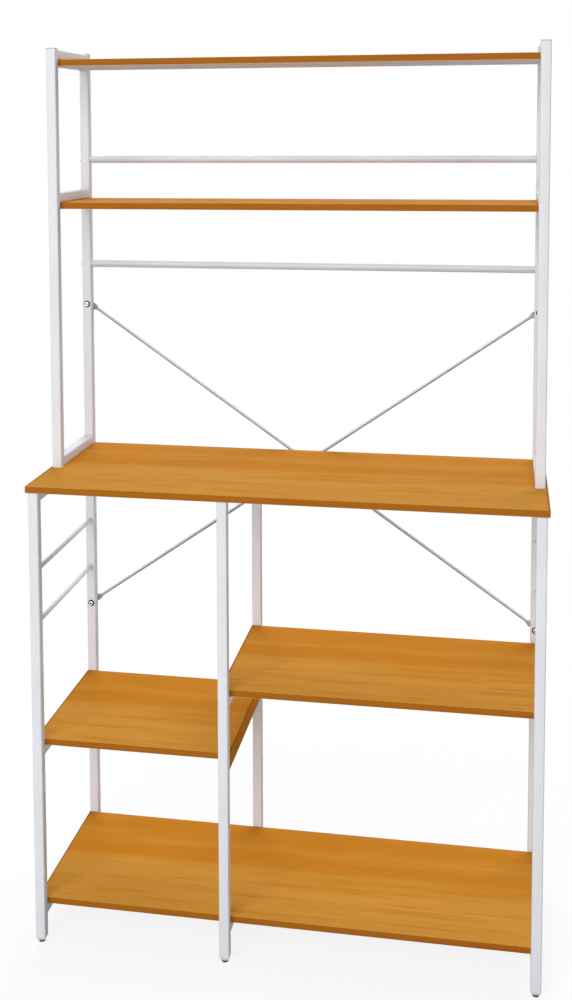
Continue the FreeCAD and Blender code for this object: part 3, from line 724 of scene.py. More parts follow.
class SettledDust(Effect):
    """A faint veil of dust on what faces up."""

    name = "settled_dust"
    inputs = {"Place": VECTOR, "Normal": VECTOR}
    outputs = ("Dust",)
    FACING_SPAN = (0.5, 1.0)
    CLOUD_FINENESS = 22.0
    CLOUD_SPAN = (0.4, 0.8)

    @classmethod
    def draw(cls, graph: Graph, start: dict[str, Socket]) -> dict[str, Value]:
        """Gather dust in cloudy patches.

        Args:
            graph: The group's nodes.
            start: The place, and the surface's normal.

        Returns:
            Dust from 0 to 1.
        """
        facing = graph.spread(graph.part(start["Normal"], "Z"), *cls.FACING_SPAN)
        noise = graph.noise(start["Place"], cls.CLOUD_FINENESS, detail=5.0, roughness=0.6)
        return {"Dust": graph.math("MULTIPLY", facing, graph.spread(noise, *cls.CLOUD_SPAN))}


@dataclass(frozen=True)
class Finish(ABC):
    """A surface finish, made as a material on its first use."""

    name: str

    def material(self) -> bpy.types.Material:
        """The finish's material.

        Returns:
            The material, made on its first use.
        """
        material = bpy.data.materials.get(self.name)
        if material is None:
            material = bpy.data.materials.new(self.name)
            material.use_nodes = True
            self.dress(Graph(material.node_tree), material.node_tree.nodes["Principled BSDF"])
        return material

    @abstractmethod
    def dress(self, graph: Graph, shader: bpy.types.Node) -> None:
        """Set up the shader.

        Args:
            graph: The material's nodes.
            shader: The Principled BSDF to feed.
        """

    @staticmethod
    def worn_edges(graph: Graph, place: Value) -> Socket:
        """Wear on the edges that the mesh marks."""
        return EdgeWear.place(graph, Place=place, Edge=graph.attribute(EDGE_LAYER))["Wear"]

    @staticmethod
    def dust_veil(graph: Graph, place: Value) -> Socket:
        """Dust on what faces up."""
        return SettledDust.place(graph, Place=place, Normal=graph.normal())["Dust"]


@dataclass(frozen=True)
class CoatedSkin(Finish):
    """A painted or moulded skin with a fine peel, worn edges, a little dust and, where asked, painted shade on
    what faces down.
    """

    colour: Colour
    shade: Colour
    worn: Colour
    dusty: Colour
    roughness: Span
    fineness: float
    peel_depth: float
    wear: float
    dust: float
    specular: float
    under_shade: float = 0.0
    # Colour of the painted shade on what faces down
    under: Colour = (0.19, 0.19, 0.205)
    peel: float = 0.6

    def dress(self, graph: Graph, shader: bpy.types.Node) -> None:
        """Set up the skin.

        Args:
            graph: The material's nodes.
            shader: The Principled BSDF to feed.
        """
        place = graph.object_place()
        skin = PowderTexture.place(graph, Place=place, Fineness=self.fineness)
        colour = graph.blend(skin["Mottle"], rgba(self.colour), rgba(self.shade))
        colour = graph.cover(colour, self.worn_edges(graph, place), self.wear, self.worn)
        colour = graph.cover(colour, self.dust_veil(graph, place), self.dust, self.dusty)
        # Painted shade on what faces down, in the under colour
        if self.under_shade > 0.0:
            under_shade = UndersideShade.place(graph, Place=place, Normal=graph.normal())["UnderShade"]
            colour = graph.cover(colour, under_shade, self.under_shade, self.under)
        graph.feed(shader.inputs["Base Color"], colour)
        graph.feed(shader.inputs["Roughness"], graph.spread(skin["Mottle"], 0.0, 1.0, *self.roughness))
        graph.feed(shader.inputs["Normal"], graph.bump(skin["Peel"], self.peel, self.peel_depth))
        shader.inputs["Specular IOR Level"].default_value = self.specular


@dataclass(frozen=True)
class WoodTone:
    """Colours of a printed wood."""

    light: Colour
    dark: Colour
    streak: Colour
    pore: Colour
    worn: Colour


@dataclass(frozen=True)
class WoodSkin(Finish):
    """Printed wood foil or edge band, with the grain along X and centred on its board."""

    tone: WoodTone
    centre: Place
    depth: float
    streak_span: Span = (0.47, 0.70)
    fibre_span: Span = (0.45, 0.85)
    fibre_share: float = 0.35
    pore_share: float = 0.35
    wear: float = 0.35
    rough_span: Span = (0.2, 0.8)
    roughness: Span = (0.58, 0.72)
    dust_roughness: float = 0.12
    relief: float = 0.5
    fibre_relief: float = 0.4
    pore_depth: float = 0.12 * MM
    specular: float = 0.01

    @classmethod
    def on(cls, box: Box, name: str, tone: WoodTone) -> "WoodSkin":
        """The finish of a board that fills a box."""
        return cls(name, tone, centre=tuple(box.centre), depth=box.size.y)

    def dress(self, graph: Graph, shader: bpy.types.Node) -> None:
        """Set up the wood.

        Args:
            graph: The material's nodes.
            shader: The Principled BSDF to feed.
        """
        tone = self.tone
        place = graph.mapping(graph.object_place(), location=[-length for length in self.centre])
        grain = WoodGrainAndShade.place(graph, Place=place, Depth=self.depth)
        streaks = graph.spread(grain["Streaks"], *self.streak_span)
        fibres = graph.spread(grain["Fibres"], *self.fibre_span)
        # The dark back of each board is painted shade as well as grain figure
        colour = graph.blend(grain["FigureAndShade"], rgba(tone.dark), rgba(tone.light))
        colour = graph.blend(streaks, colour, rgba(tone.streak))
        colour = graph.cover(colour, fibres, self.fibre_share, tone.streak)
        colour = graph.cover(colour, grain["Pores"], self.pore_share, tone.pore)
        colour = graph.cover(colour, self.worn_edges(graph, place), self.wear, tone.worn)
        graph.feed(shader.inputs["Base Color"], colour)
        rough = graph.spread(grain["Streaks"], *self.rough_span, *self.roughness)
        dust = graph.math("MULTIPLY", self.dust_veil(graph, place), self.dust_roughness)
        graph.feed(shader.inputs["Roughness"], graph.math("ADD", rough, dust))
        raised = graph.math("MULTIPLY", grain["Fibres"], self.fibre_relief)
        height = graph.math("SUBTRACT", raised, grain["Pores"])
        graph.feed(shader.inputs["Normal"], graph.bump(height, self.relief, self.pore_depth))
        shader.inputs["Specular IOR Level"].default_value = self.specular


@dataclass(frozen=True)
class ZincPlate(Finish):
    """Bright zinc plate with a fine drawn grain and dull patches."""

    colour: Colour
    dull: Colour
    fineness: float = 1800.0
    patch_fineness: float = 320.0
    patch_span: Span = (0.35, 0.7)
    roughness: Span = (0.24, 0.40)
    relief: float = 0.4
    grain_depth: float = 0.03 * MM

    def dress(self, graph: Graph, shader: bpy.types.Node) -> None:
        """Set up the plate.

        Args:
            graph: The material's nodes.
            shader: The Principled BSDF to feed.
        """
        place = graph.object_place()
        skin = PowderTexture.place(graph, Place=place, Fineness=self.fineness)
        patches = graph.spread(graph.noise(place, self.patch_fineness, detail=3.0), *self.patch_span)
        colour = graph.blend(patches, rgba(self.colour), rgba(self.dull))
        colour = graph.blend(self.worn_edges(graph, place), colour, rgba(self.colour))
        graph.feed(shader.inputs["Base Color"], colour)
        graph.feed(shader.inputs["Roughness"], graph.spread(patches, 0.0, 1.0, *self.roughness))
        graph.feed(shader.inputs["Normal"], graph.bump(skin["Peel"], self.relief, self.grain_depth))
        shader.inputs["Metallic"].default_value = 1.0


WHITE_PAINT = CoatedSkin(
    "white_powder_coat", colour=(0.775, 0.775, 0.80), shade=(0.735, 0.735, 0.76), worn=(0.60, 0.60, 0.615),
    dusty=(0.68, 0.67, 0.66), roughness=(0.44, 0.56), fineness=700.0, peel_depth=0.04 * MM, wear=0.25,
    dust=0.12, specular=0.25)
# Rods carry the full painted shade on their undersides, and rails about a third of it
ROD_PAINT = replace(WHITE_PAINT, name="white_rod_coat", peel_depth=0.015 * MM, under_shade=1.0)
RAIL_PAINT = replace(WHITE_PAINT, name="white_rail_coat", peel_depth=0.02 * MM, under_shade=0.32)
WHITE_MOULDED = CoatedSkin(
    "white_moulded_plastic", colour=(0.74, 0.74, 0.75), shade=(0.70, 0.70, 0.71), worn=(0.58, 0.58, 0.59),
    dusty=(0.62, 0.60, 0.58), roughness=(0.42, 0.55), fineness=1500.0, peel_depth=0.05 * MM, wear=0.3,
    dust=0.2, specular=0.5)
GREY_MOULDED = CoatedSkin(
    "pale_grey_moulded_plastic", colour=(0.52, 0.52, 0.535), shade=(0.47, 0.47, 0.485),
    worn=(0.38, 0.38, 0.39), dusty=(0.50, 0.49, 0.48), roughness=(0.46, 0.60), fineness=1500.0,
    peel_depth=0.05 * MM, wear=0.3, dust=0.2, specular=0.3)
DARK_MOULDED = CoatedSkin(
    "dark_moulded_plastic", colour=(0.045, 0.043, 0.045), shade=(0.06, 0.058, 0.06), worn=(0.14, 0.14, 0.14),
    dusty=(0.20, 0.19, 0.18), roughness=(0.50, 0.68), fineness=2200.0, peel_depth=0.06 * MM, wear=0.6,
    dust=0.4, specular=0.4)
BACKING_PAPER = CoatedSkin(
    "backing_paper", colour=(0.77, 0.735, 0.70), shade=(0.745, 0.71, 0.675), worn=(0.78, 0.75, 0.72),
    dusty=(0.68, 0.66, 0.64), roughness=(0.72, 0.86), fineness=420.0, peel_depth=0.10 * MM, wear=0.3,
    dust=0.0, specular=0.2)
BRIGHT_ZINC = ZincPlate("bright_zinc", colour=(0.72, 0.73, 0.74), dull=(0.55, 0.56, 0.57))
# Near-black zinc that is painted shade: in bolt sockets and on the rims of front bolt heads
ZINC_PAINTED_SHADE = ZincPlate("zinc_painted_shade", colour=(0.055, 0.055, 0.058), dull=(0.030, 0.030, 0.032))
# The dark colour, at the back of each board, is painted shade as well as grain figure
FOIL = WoodTone(light=(0.640, 0.298, 0.046), dark=(0.580, 0.208, 0.012), streak=(0.575, 0.222, 0.020),
                pore=(0.30, 0.105, 0.014), worn=(0.66, 0.33, 0.075))
EDGE_BAND = replace(FOIL, light=(0.385, 0.130, 0.012), dark=(0.350, 0.110, 0.010),
                    streak=(0.350, 0.110, 0.010))
# A lighter copy of the edge band for the board ends, which face the sides: painted light on ends that sit in
# shade
END_BAND_PAINTED_LIGHT = replace(FOIL, light=(0.640, 0.235, 0.014), dark=(0.590, 0.205, 0.011),
                   streak=(0.590, 0.205, 0.011))
# Wood on the right side of the middle frame's low shelf bar, from the lighter end band: painted light on a
# face in shade
BAR_FACING_PAINTED_LIGHT = WoodSkin(
    "honey_bar_facing_painted_light", centre=(-0.090, -0.003, 0.354), depth=0.309,
    tone=replace(END_BAND_PAINTED_LIGHT, streak=(0.570, 0.195, 0.011), pore=(0.40, 0.13, 0.012), worn=(0.68, 0.30, 0.05)))


def finish_piece(shape: Shape, name: str, finishes: Sequence[Finish], nodes: Sequence[str],
                 body: str = RACK, smooth: float = 32.0) -> bpy.types.Object:
    """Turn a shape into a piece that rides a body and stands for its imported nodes.

    Args:
        shape: The finished shape, in place.
        name: The piece's name.
        finishes: Finishes by material number.
        nodes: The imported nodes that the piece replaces.
        body: The body that it rides.
        smooth: Largest angle, in degrees, over which the faces shade as one.

    Returns:
        The piece's object.
    """
    mesh = bpy.data.meshes.new(name)
    shape.bm.to_mesh(mesh)
    shape.bm.free()
    mesh.shade_smooth()
    mesh.set_sharp_from_angle(angle=math.radians(smooth))
    for finish in finishes:
        mesh.materials.append(finish.material())
    piece = bpy.data.objects.new(name, mesh)
    link(piece)
    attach(piece, body)
    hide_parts(*nodes)
    log.info("%s: %d faces on %s", name, len(mesh.polygons), body)
    return piece


@dataclass(frozen=True)
class TubeStock:
    """Square steel tube as all the frames use it."""

    corner: float = 2.5 * MM
    wall: float = 1.0 * MM
    rounding: int = 4

    def cut(self, box: Box) -> Shape:
        """A hollow tube that fills a box, open at its two ends.

        Args:
            box: The box to fill.

        Returns:
            The tube's shape.
        """
        shape = Shape.block(box)
        axis = box.long_axis
        ends = [face for face in shape.bm.faces if abs(face.normal[axis]) > SQUARE_ON]
        bmesh.ops.delete(shape.bm, geom=ends, context="FACES_ONLY")
        shape.round_edges(shape.edges_along(axis), self.corner, self.rounding)
        return shape.thicken(self.wall)


@dataclass(frozen=True)
class WeldBead:
    """A small rippled weld seam, with its profile in shares of its radius."""

    radius: float = 1.5 * MM
    ripple: float = 2.2 * MM
    hollow: float = 0.84
    tip: float = 0.4
    tip_reach: float = 0.3
    sides: int = 10
    bulge: tuple[Span, ...] = ((1.0, 0.0), (0.9, 0.4), (0.6, 0.75), (0.0, 1.0))
    collar_steps: int = 24

    def run(self, start: Vector, end: Vector) -> Shape:
        """A seam between two points.

        Args:
            start: Where the seam begins.
            end: Where it ends.

        Returns:
            The seam's shape.
        """
        length = (end - start).length
        count = max(2, round(length / self.ripple))
        step = length / count
        reach = self.tip_reach * self.radius
        stations = [self.section(-reach, self.tip)]
        for index in range(count):
            stations.append(self.section(index * step, self.hollow))
            stations.append(self.section((index + 0.5) * step, 1.0))
        stations += [self.section(length, self.hollow), self.section(length + reach, self.tip)]
        return Shape.sweep(stations, self.sides).move(Matrix.Translation(start) @ turn_to(end - start))

    def section(self, along: float, fullness: float) -> Station:
        """A round section of the seam."""
        return Station(along, self.radius * fullness, self.radius * fullness)

    def collar(self, rod_radius: float) -> Shape:
        """A seam round the foot of a rod that stands on Z = 0."""
        seam = [(rod_radius + out * self.radius, up * self.radius) for out, up in self.bulge]
        return Shape.lathe([(0.0, 0.0), *seam, (0.0, self.radius)], self.collar_steps)


@dataclass
class TubeFrame:
    """A welded side frame: upright tubes, the bars between them and any hook rods."""

    uprights: Sequence[str]
    bars: Sequence[str]
    seam_way: Way
    rods: str = ""
    faced_bar: str = ""
    tube: TubeStock = TubeStock()
    bead: WeldBead = WeldBead()
    seam_sink: float = 0.8
    rod_sides: int = 24
    rod_arris: float = 0.2 * MM
    facing_wrap: float = 2.6 * MM
    facing_turn: float = 0.15

    def build(self) -> None:
        """Build and dress the frame's tubes, bars and rods."""
        for node in self.uprights:
            self.dress(self.tube.cut(box_of(node)), node, "tube")
        for node in self.bars:
            bar = self.build_bar(box_of(node))
            if node == self.faced_bar:
                self.face_open_side(bar, box_of(node))
            self.dress(bar, node, "welded")
        if self.rods:
            self.dress(self.build_rods(), self.rods, "welded")

    def dress(self, shape: Shape, node: str, ending: str) -> None:
        """Paint one part of the frame, and name it for its node and for how it is made."""
        finishes = [WHITE_PAINT, BAR_FACING_PAINTED_LIGHT] if node == self.faced_bar else [WHITE_PAINT]
        finish_piece(shape, f"{node}_{ending}", finishes, [node])

    def face_open_side(self, bar: Shape, box: Box) -> None:
        """Cover a bar's right side with wood, in line with the end of the board above it; the wood is
        lightened as painted light.

        Args:
            bar: The bar's shape.
            box: The bar's box.
        """
        for face in bar.faces_towards(Way.RIGHT, self.facing_turn):
            if face.calc_center_median().x > box.high.x - self.facing_wrap:
                face.material_index = 1

    def build_bar(self, box: Box) -> Shape:
        """A cross bar with its weld seams at both ends.

        Args:
            box: The bar's box; the bar runs front to back.

        Returns:
            The bar's shape.
        """
        shape = self.tube.cut(box)
        level = box.low.z if self.seam_way is Way.DOWN else box.high.z
        inner = self.bead.radius * self.seam_sink
        trim = self.tube.corner
        for line in (box.low.y, box.high.y):
            shape.add(self.bead.run(Vector((box.low.x + trim, line, level)),
                                    Vector((box.high.x - trim, line, level))))
            for flank in (box.low.x + inner, box.high.x - inner):
                shape.add(self.bead.run(Vector((flank, line, box.low.z + trim)),
                                        Vector((flank, line, box.high.z - trim))))
        return shape

    def build_rods(self) -> Shape:
        """The round hook rods of the frame, with a weld collar at each end.

        Returns:
            The rods' shape.
        """
        shape = Shape()
        for box in solids_of(self.rods):
            radius = box.size.z / 2
            rod = Shape.rod(box.size.y, radius, self.rod_sides, self.rod_arris)
            shape.add(rod.stand(Way.BACK, box.centre))
            for line, way in ((box.low.y, Way.BACK), (box.high.y, Way.FRONT)):
                foot = Vector((box.centre.x, line, box.centre.z))
                shape.add(self.bead.collar(radius).stand(way, foot))
        return shape


@dataclass
class ShelfBoard:
    """A board with a printed top, banded edges, ends banded lighter as painted light, and a paper backing."""

    node: str
    arris: float = 0.8 * MM
    arris_steps: int = 3
    end_strip: float = 3.0 * MM
    smooth: float = 40.0

    def build(self) -> None:
        """Build the board and dress each of its faces."""
        box = box_of(self.node)
        shape = Shape.block(box)
        shape.round_edges(shape.bm.edges[:], self.arris, self.arris_steps)
        for line in (box.low.x + self.end_strip, box.high.x - self.end_strip):
            shape.slice(Way.RIGHT, (line, 0.0, 0.0))
        band, foil, ends = (WoodSkin.on(box, f"honey_{layer}_{self.node}", tone) for layer, tone in (
            ("edge_band", EDGE_BAND), ("foil", FOIL), ("end_band_painted_light", END_BAND_PAINTED_LIGHT)))
        finishes = [band, foil, BACKING_PAPER, ends]
        inner = box.size.x / 2 - self.end_strip
        top = [face for face in shape.faces_towards(Way.UP)
               if abs(face.calc_center_median().x - box.centre.x) < inner]
        # The ends, which face left and right, take the lighter band: painted light
        for finish, faces in ((foil, top), (BACKING_PAPER, shape.faces_towards(Way.DOWN)),
                              (ends, shape.faces_towards(Way.LEFT) + shape.faces_towards(Way.RIGHT))):
            for face in faces:
                face.material_index = finishes.index(finish)
        finish_piece(shape, f"{self.node}_board", finishes, [self.node], smooth=self.smooth)


@dataclass
class HookRail:
    """A round rail between the back posts."""

    node: str
    sides: int = 40
    arris: float = 0.5 * MM

    def build(self) -> None:
        """Build and paint the rail."""
        box = box_of(self.node)
        shape = Shape.rod(box.size.x, box.size.z / 2, self.sides, self.arris).stand(Way.RIGHT, box.centre)
        finish_piece(shape, f"{self.node}_tube", [RAIL_PAINT], [self.node])


@dataclass
class BackBrace:
    """A brace rod behind the posts, pressed flat at its ends and where it crosses the other."""

    node: str
    falls: bool
    flat: float = 2.4 * MM
    flat_width: float = 12.0 * MM
    diameter: float = 6.0 * MM
    taper: float = 8.0 * MM
    end_run: float = 13.0 * MM
    middle_run: float = 14.0 * MM
    taper_steps: int = 6
    end_steps: int = 7
    blunt_step: float = 0.35
    sides: int = 28
    pressed: float = 2.4

    def build(self, bolts: Sequence[Box]) -> None:
        """Build and paint the brace.

        Args:
            bolts: Boxes of the bolts at the braces' ends.
        """
        slope = -1.0 if self.falls else 1.0
        ranked = sorted(bolts, key=lambda box: (box.centre.x, slope * box.centre.z))
        left, right = ranked[0].centre, ranked[-1].centre
        run = right - left
        run.y = 0.0
        middle = (left + right) / 2
        middle.y = box_of(self.node).low.y
        along, depth = run.normalized(), Way.BACK.vector
        turn = Matrix((depth.cross(along), depth, along)).transposed().to_4x4()
        half = self.half_stations(run.length / 2)
        mirrored = [replace(station, along=-station.along) for station in reversed(half)]
        shape = Shape.sweep(mirrored + half, self.sides).move(Matrix.Translation(middle) @ turn)
        finish_piece(shape, f"{self.node}_rod", [ROD_PAINT], [self.node])

    def half_stations(self, reach: float) -> list[Station]:
        """The sections from the crossing to one end.

        Args:
            reach: Length from the crossing to the bolt.

        Returns:
            The sections in order.
        """
        round_end = self.flat_width / 2
        stations = [self.section(self.middle_run, 0.0)]
        stations += self.tapering(self.middle_run, opens=True)
        stations += self.tapering(reach - self.end_run - self.taper, opens=False)
        stations.append(self.section(reach, 0.0))
        for step in range(1, self.end_steps + 1):
            angle = 0.5 * math.pi * step / (self.end_steps + self.blunt_step)
            stations.append(self.section(reach + round_end * math.sin(angle), 0.0, math.cos(angle)))
        return stations

    def tapering(self, start: float, opens: bool) -> list[Station]:
        """The sections of a taper between the flat and the round rod.

        Args:
            start: Where the taper begins.
            opens: Whether it goes from flat to round, or back.

        Returns:
            The sections in order.
        """
        stations = []
        for step in range(self.taper_steps + 1):
            share = step / self.taper_steps
            eased = share * share * (3.0 - 2.0 * share)
            stations.append(self.section(start + share * self.taper, eased if opens else 1.0 - eased))
        return stations

    def section(self, along: float, roundness: float, width: float = 1.0) -> Station:
        """A section between the pressed flat and the round rod.

        Args:
            along: Place along the brace.
            roundness: 0 for the flat and 1 for the rod.
            width: Share of the section's width that is left.

        Returns:
            The section.
        """
        half_width = self.flat_width / 2 + roundness * (self.diameter - self.flat_width) / 2
        half_depth = self.flat / 2 + roundness * (self.diameter - self.flat) / 2
        flatness = self.pressed + roundness * (1.0 - self.pressed)
        return Station(along, half_width * width, half_depth, half_depth, flatness)


@dataclass
class LikePieces(ABC):
    """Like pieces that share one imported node."""

    node: str
    finishes: Sequence[Finish] = (BRIGHT_ZINC,)
    slot: Slot = Slot.ZINC
    ending: str = "plated"

    def build(self) -> None:
        """Build and dress all the pieces of the node."""
        shape = Shape()
        for box in solids_of(self.node):
            shape.add(self.one(box))
        finish_piece(shape, f"{self.node}_{self.ending}", self.finishes, [self.node])

    @abstractmethod
    def one(self, box: Box) -> Shape:
        """Build one of the pieces in place.

        Args:
            box: The piece's box.

        Returns:
            The piece's shape.
        """


@dataclass
class ButtonBolts(LikePieces):
    """Button head bolts with a flange and a hexagon socket; painted shade in each socket and on the rims that
    face front.
    """

    finishes: Sequence[Finish] = (BRIGHT_ZINC, ZINC_PAINTED_SHADE)
    flange: float = 1.0 * MM
    flange_arris: float = 0.3 * MM
    flange_slope: float = 0.4 * MM
    head_radius: float = 5.5 * MM
    head_height: float = 3.8 * MM
    crown_radius: float = 3.0 * MM
    bright_radius: float = 4.3 * MM
    shank_radius: float = 3.0 * MM
    tip_chamfer: float = 0.6 * MM
    socket_flats: float = 4.0 * MM
    socket_depth: float = 2.2 * MM
    socket_dish: float = 0.15 * MM
    dome_steps: int = 6
    steps: int = 36

    def one(self, box: Box) -> Shape:
        """One bolt, with its head outwards.

        Args:
            box: The bolt's box.

        Returns:
            The bolt's shape.
        """
        way = self.head_way(box)
        axis = way.axis
        seat = box.centre
        end = box.high[axis] if way.value[axis] > 0 else box.low[axis]
        seat[axis] = end - way.value[axis] * self.head_height
        rim = min(box.size[other] for other in range(3) if other != axis) / 2
        shape = Shape.lathe(self.profile(box.size[axis] - self.head_height, rim), self.steps)
        self.sink_socket(shape)
        # Painted shade in the socket, and on the outer head of bolts that face front
        self.paint_shade(shape, self.bright_radius if way is Way.FRONT else rim)
        return shape.stand(way, seat)

    @staticmethod
    def head_way(box: Box) -> Way:
        """The way that a bolt's head looks, outwards from the frame.

        Args:
            box: The bolt's box.

        Returns:
            The direction.
        """
        if box.long_axis == Way.UP.axis:
            return Way.DOWN
        if box.long_axis == Way.FRONT.axis:
            return Way.FRONT
        return Way.LEFT if box.centre.x < 0 else Way.RIGHT

    def profile(self, grip: float, rim: float) -> list[Span]:
        """The outline of a bolt that hangs down from Z = 0 with its head above.

        Args:
            grip: Length of the shank.
            rim: Radius of the flange.

        Returns:
            Radius and height of each corner, up to the crown.
        """
        shank, chamfer, arris = self.shank_radius, self.tip_chamfer, self.flange_arris
        foot = (self.head_radius, self.flange)
        return [(0.0, -grip), (shank - chamfer, -grip), (shank, chamfer - grip), (shank, 0.0),
                (rim - arris, 0.0), (rim, arris), (rim, self.flange - arris),
                (rim - self.flange_slope, self.flange), foot,
                *quarter_round(foot, (self.crown_radius, self.head_height), self.dome_steps)]

    @property
    def socket_reach(self) -> float:
        """Radius over the socket's corners."""
        return self.socket_flats / math.sqrt(3.0)

    def sink_socket(self, shape: Shape) -> None:
        """Close the head's crown with a hexagon socket.

        Args:
            shape: The bolt, open at its crown.
        """
        crown = shape.open_edges()
        level = Matrix.Translation((0.0, 0.0, self.head_height - self.socket_dish))
        socket = bmesh.ops.create_circle(shape.bm, cap_ends=False, segments=6, radius=self.socket_reach,
                                         matrix=level)["verts"]
        rim = list({edge for vert in socket for edge in vert.link_edges})
        bmesh.ops.bridge_loops(shape.bm, edges=crown + rim)
        floor = verts_in(bmesh.ops.extrude_edge_only(shape.bm, edges=rim)["geom"])
        bmesh.ops.translate(shape.bm, vec=(0.0, 0.0, -self.socket_depth), verts=floor)
        bmesh.ops.contextual_create(shape.bm, geom=floor)
        shape.heal()

    def paint_shade(self, shape: Shape, bright: float) -> None:
        """Give the socket and the head's outer part the near-black zinc, as painted shade.

        Args:
            shape: The bolt's shape.
            bright: Radius up to which the head keeps its plain zinc, without painted shade.
        """
        for face in shape.bm.faces:
            middle = face.calc_center_median()
            in_socket = all(vert.co.xy.length < self.socket_reach + MERGE_DISTANCE for vert in face.verts)
            if middle.z > 0.0 and (in_socket or middle.xy.length > bright):
                face.material_index = 1


@dataclass
class PanScrews(LikePieces):
    """Pan head screws with a cross recess, driven from below."""

    head_height: float = 2.4 * MM
    head_face: float = 0.62
    head_flank: float = 0.45
    seat_arris: float = 0.2 * MM
    rim_arris: float = 0.3 * MM
    shank_radius: float = 2.0 * MM
    recess_span: float = 4.4 * MM
    recess_depth: float = 1.2 * MM
    recess_arm: float = 0.62
    recess_floor: float = 0.7
    dome_steps: int = 5
    steps: int = 28

    def one(self, box: Box) -> Shape:
        """One screw, with its head below.

        Args:
            box: The screw's box.

        Returns:
            The screw's shape.
        """
        grip, rim = box.size.z - self.head_height, box.size.x / 2
        foot = (rim, self.head_flank * self.head_height)
        shape = Shape.lathe([
            (0.0, -grip), (self.shank_radius, self.shank_radius - grip), (self.shank_radius, 0.0),
            (rim - self.seat_arris, 0.0), (rim, self.rim_arris), foot,
            *quarter_round(foot, (self.head_face * rim, self.head_height), self.dome_steps)], self.steps)
        self.sink_recess(shape)
        return shape.stand(Way.DOWN, Vector((box.centre.x, box.centre.y, box.low.z + self.head_height)))

    def sink_recess(self, shape: Shape) -> None:
        """Close the head's face with a cross recess.

        Args:
            shape: The screw, open at its face.
        """
        rim = shape.open_edges()
        half = self.recess_span / 2
        verts = bmesh.ops.create_grid(shape.bm, x_segments=3, y_segments=3, size=half)["verts"]
        bmesh.ops.translate(shape.bm, vec=(0.0, 0.0, self.head_height), verts=verts)
        cells = {face for vert in verts for face in vert.link_faces}
        for vert in verts:
            for axis in (Way.RIGHT.axis, Way.BACK.axis):
                if abs(vert.co[axis]) < half / 2:
                    vert.co[axis] *= self.recess_arm
        corners = [cell for cell in cells
                   if min(abs(length) for length in cell.calc_center_median().xy) > MERGE_DISTANCE]
        bmesh.ops.delete(shape.bm, geom=corners, context="FACES")
        cross = [cell for cell in cells if cell.is_valid]
        outline = [edge for cell in cross for edge in cell.edges if edge.is_boundary]
        bmesh.ops.bridge_loops(shape.bm, edges=rim + outline)
        floor = shape.pull(cross, -self.recess_depth)
        bmesh.ops.scale(shape.bm, vec=(self.recess_floor, self.recess_floor, 1.0), verts=floor)
        shape.heal()


@dataclass
class HexNuts(LikePieces):
    """Hexagon nuts with chamfered corners."""

    bore: float = 2.6 * MM
    bore_steps: int = 24
    chamfer: float = 0.45 * MM
    outline: float = 0.9

    def one(self, box: Box) -> Shape:
        """One nut, on its bolt.

        Args:
            box: The nut's box.

        Returns:
            The nut's shape.
        """
        way = Way.BACK if box.short_axis == Way.BACK.axis else Way.UP
        seat = box.centre
        seat[way.axis] = box.low[way.axis]
        width = max(box.size)
        nut = self.nut(box.size[way.axis], width / 2)
        if box.size.x < SQUARE_ON * width:
            nut.move(Matrix.Rotation(math.pi / 6, 4, "Z"))
        return nut.stand(way, seat)

    def nut(self, height: float, reach: float) -> Shape:
        """A nut that stands on Z = 0 with a corner towards +X or -X.

        Args:
            height: Height of the nut.
            reach: Radius over its corners.

        Returns:
            The nut's shape.
        """
        shape = Shape()
        for corners, radius in ((6, reach), (self.bore_steps, self.bore)):
            bmesh.ops.create_circle(shape.bm, cap_ends=False, segments=corners, radius=radius)
        bmesh.ops.bridge_loops(shape.bm, edges=shape.bm.edges[:])
        shape.pull(shape.bm.faces[:], height)
        shape.heal()
        rims = [edge for edge in shape.level_edges()
                if min(vert.co.xy.length for vert in edge.verts) > self.outline * reach]
        return shape.round_edges(rims, self.chamfer)


@dataclass
class BraceRivet(LikePieces):
    """The domed rivet that holds the braces where they cross."""

    node: str = "brace_rivet"
    ending: str = "domed"
    head_height: float = 1.5 * MM
    shank_radius: float = 2.5 * MM
    dome_steps: int = 6
    steps: int = 28

    def one(self, box: Box) -> Shape:
        """The rivet, with a head at both ends.

        Args:
            box: The rivet's box.

        Returns:
            The rivet's shape.
        """
        reach = box.size.y / 2
        foot = (box.size.x / 2, reach - self.head_height)
        dome = [foot, *quarter_round(foot, (0.0, reach), self.dome_steps)]
        half = [*reversed(dome), (self.shank_radius, foot[1])]
        profile = half + [(radius, -height) for radius, height in reversed(half)]
        return Shape.lathe(profile, self.steps).stand(Way.BACK, box.centre)


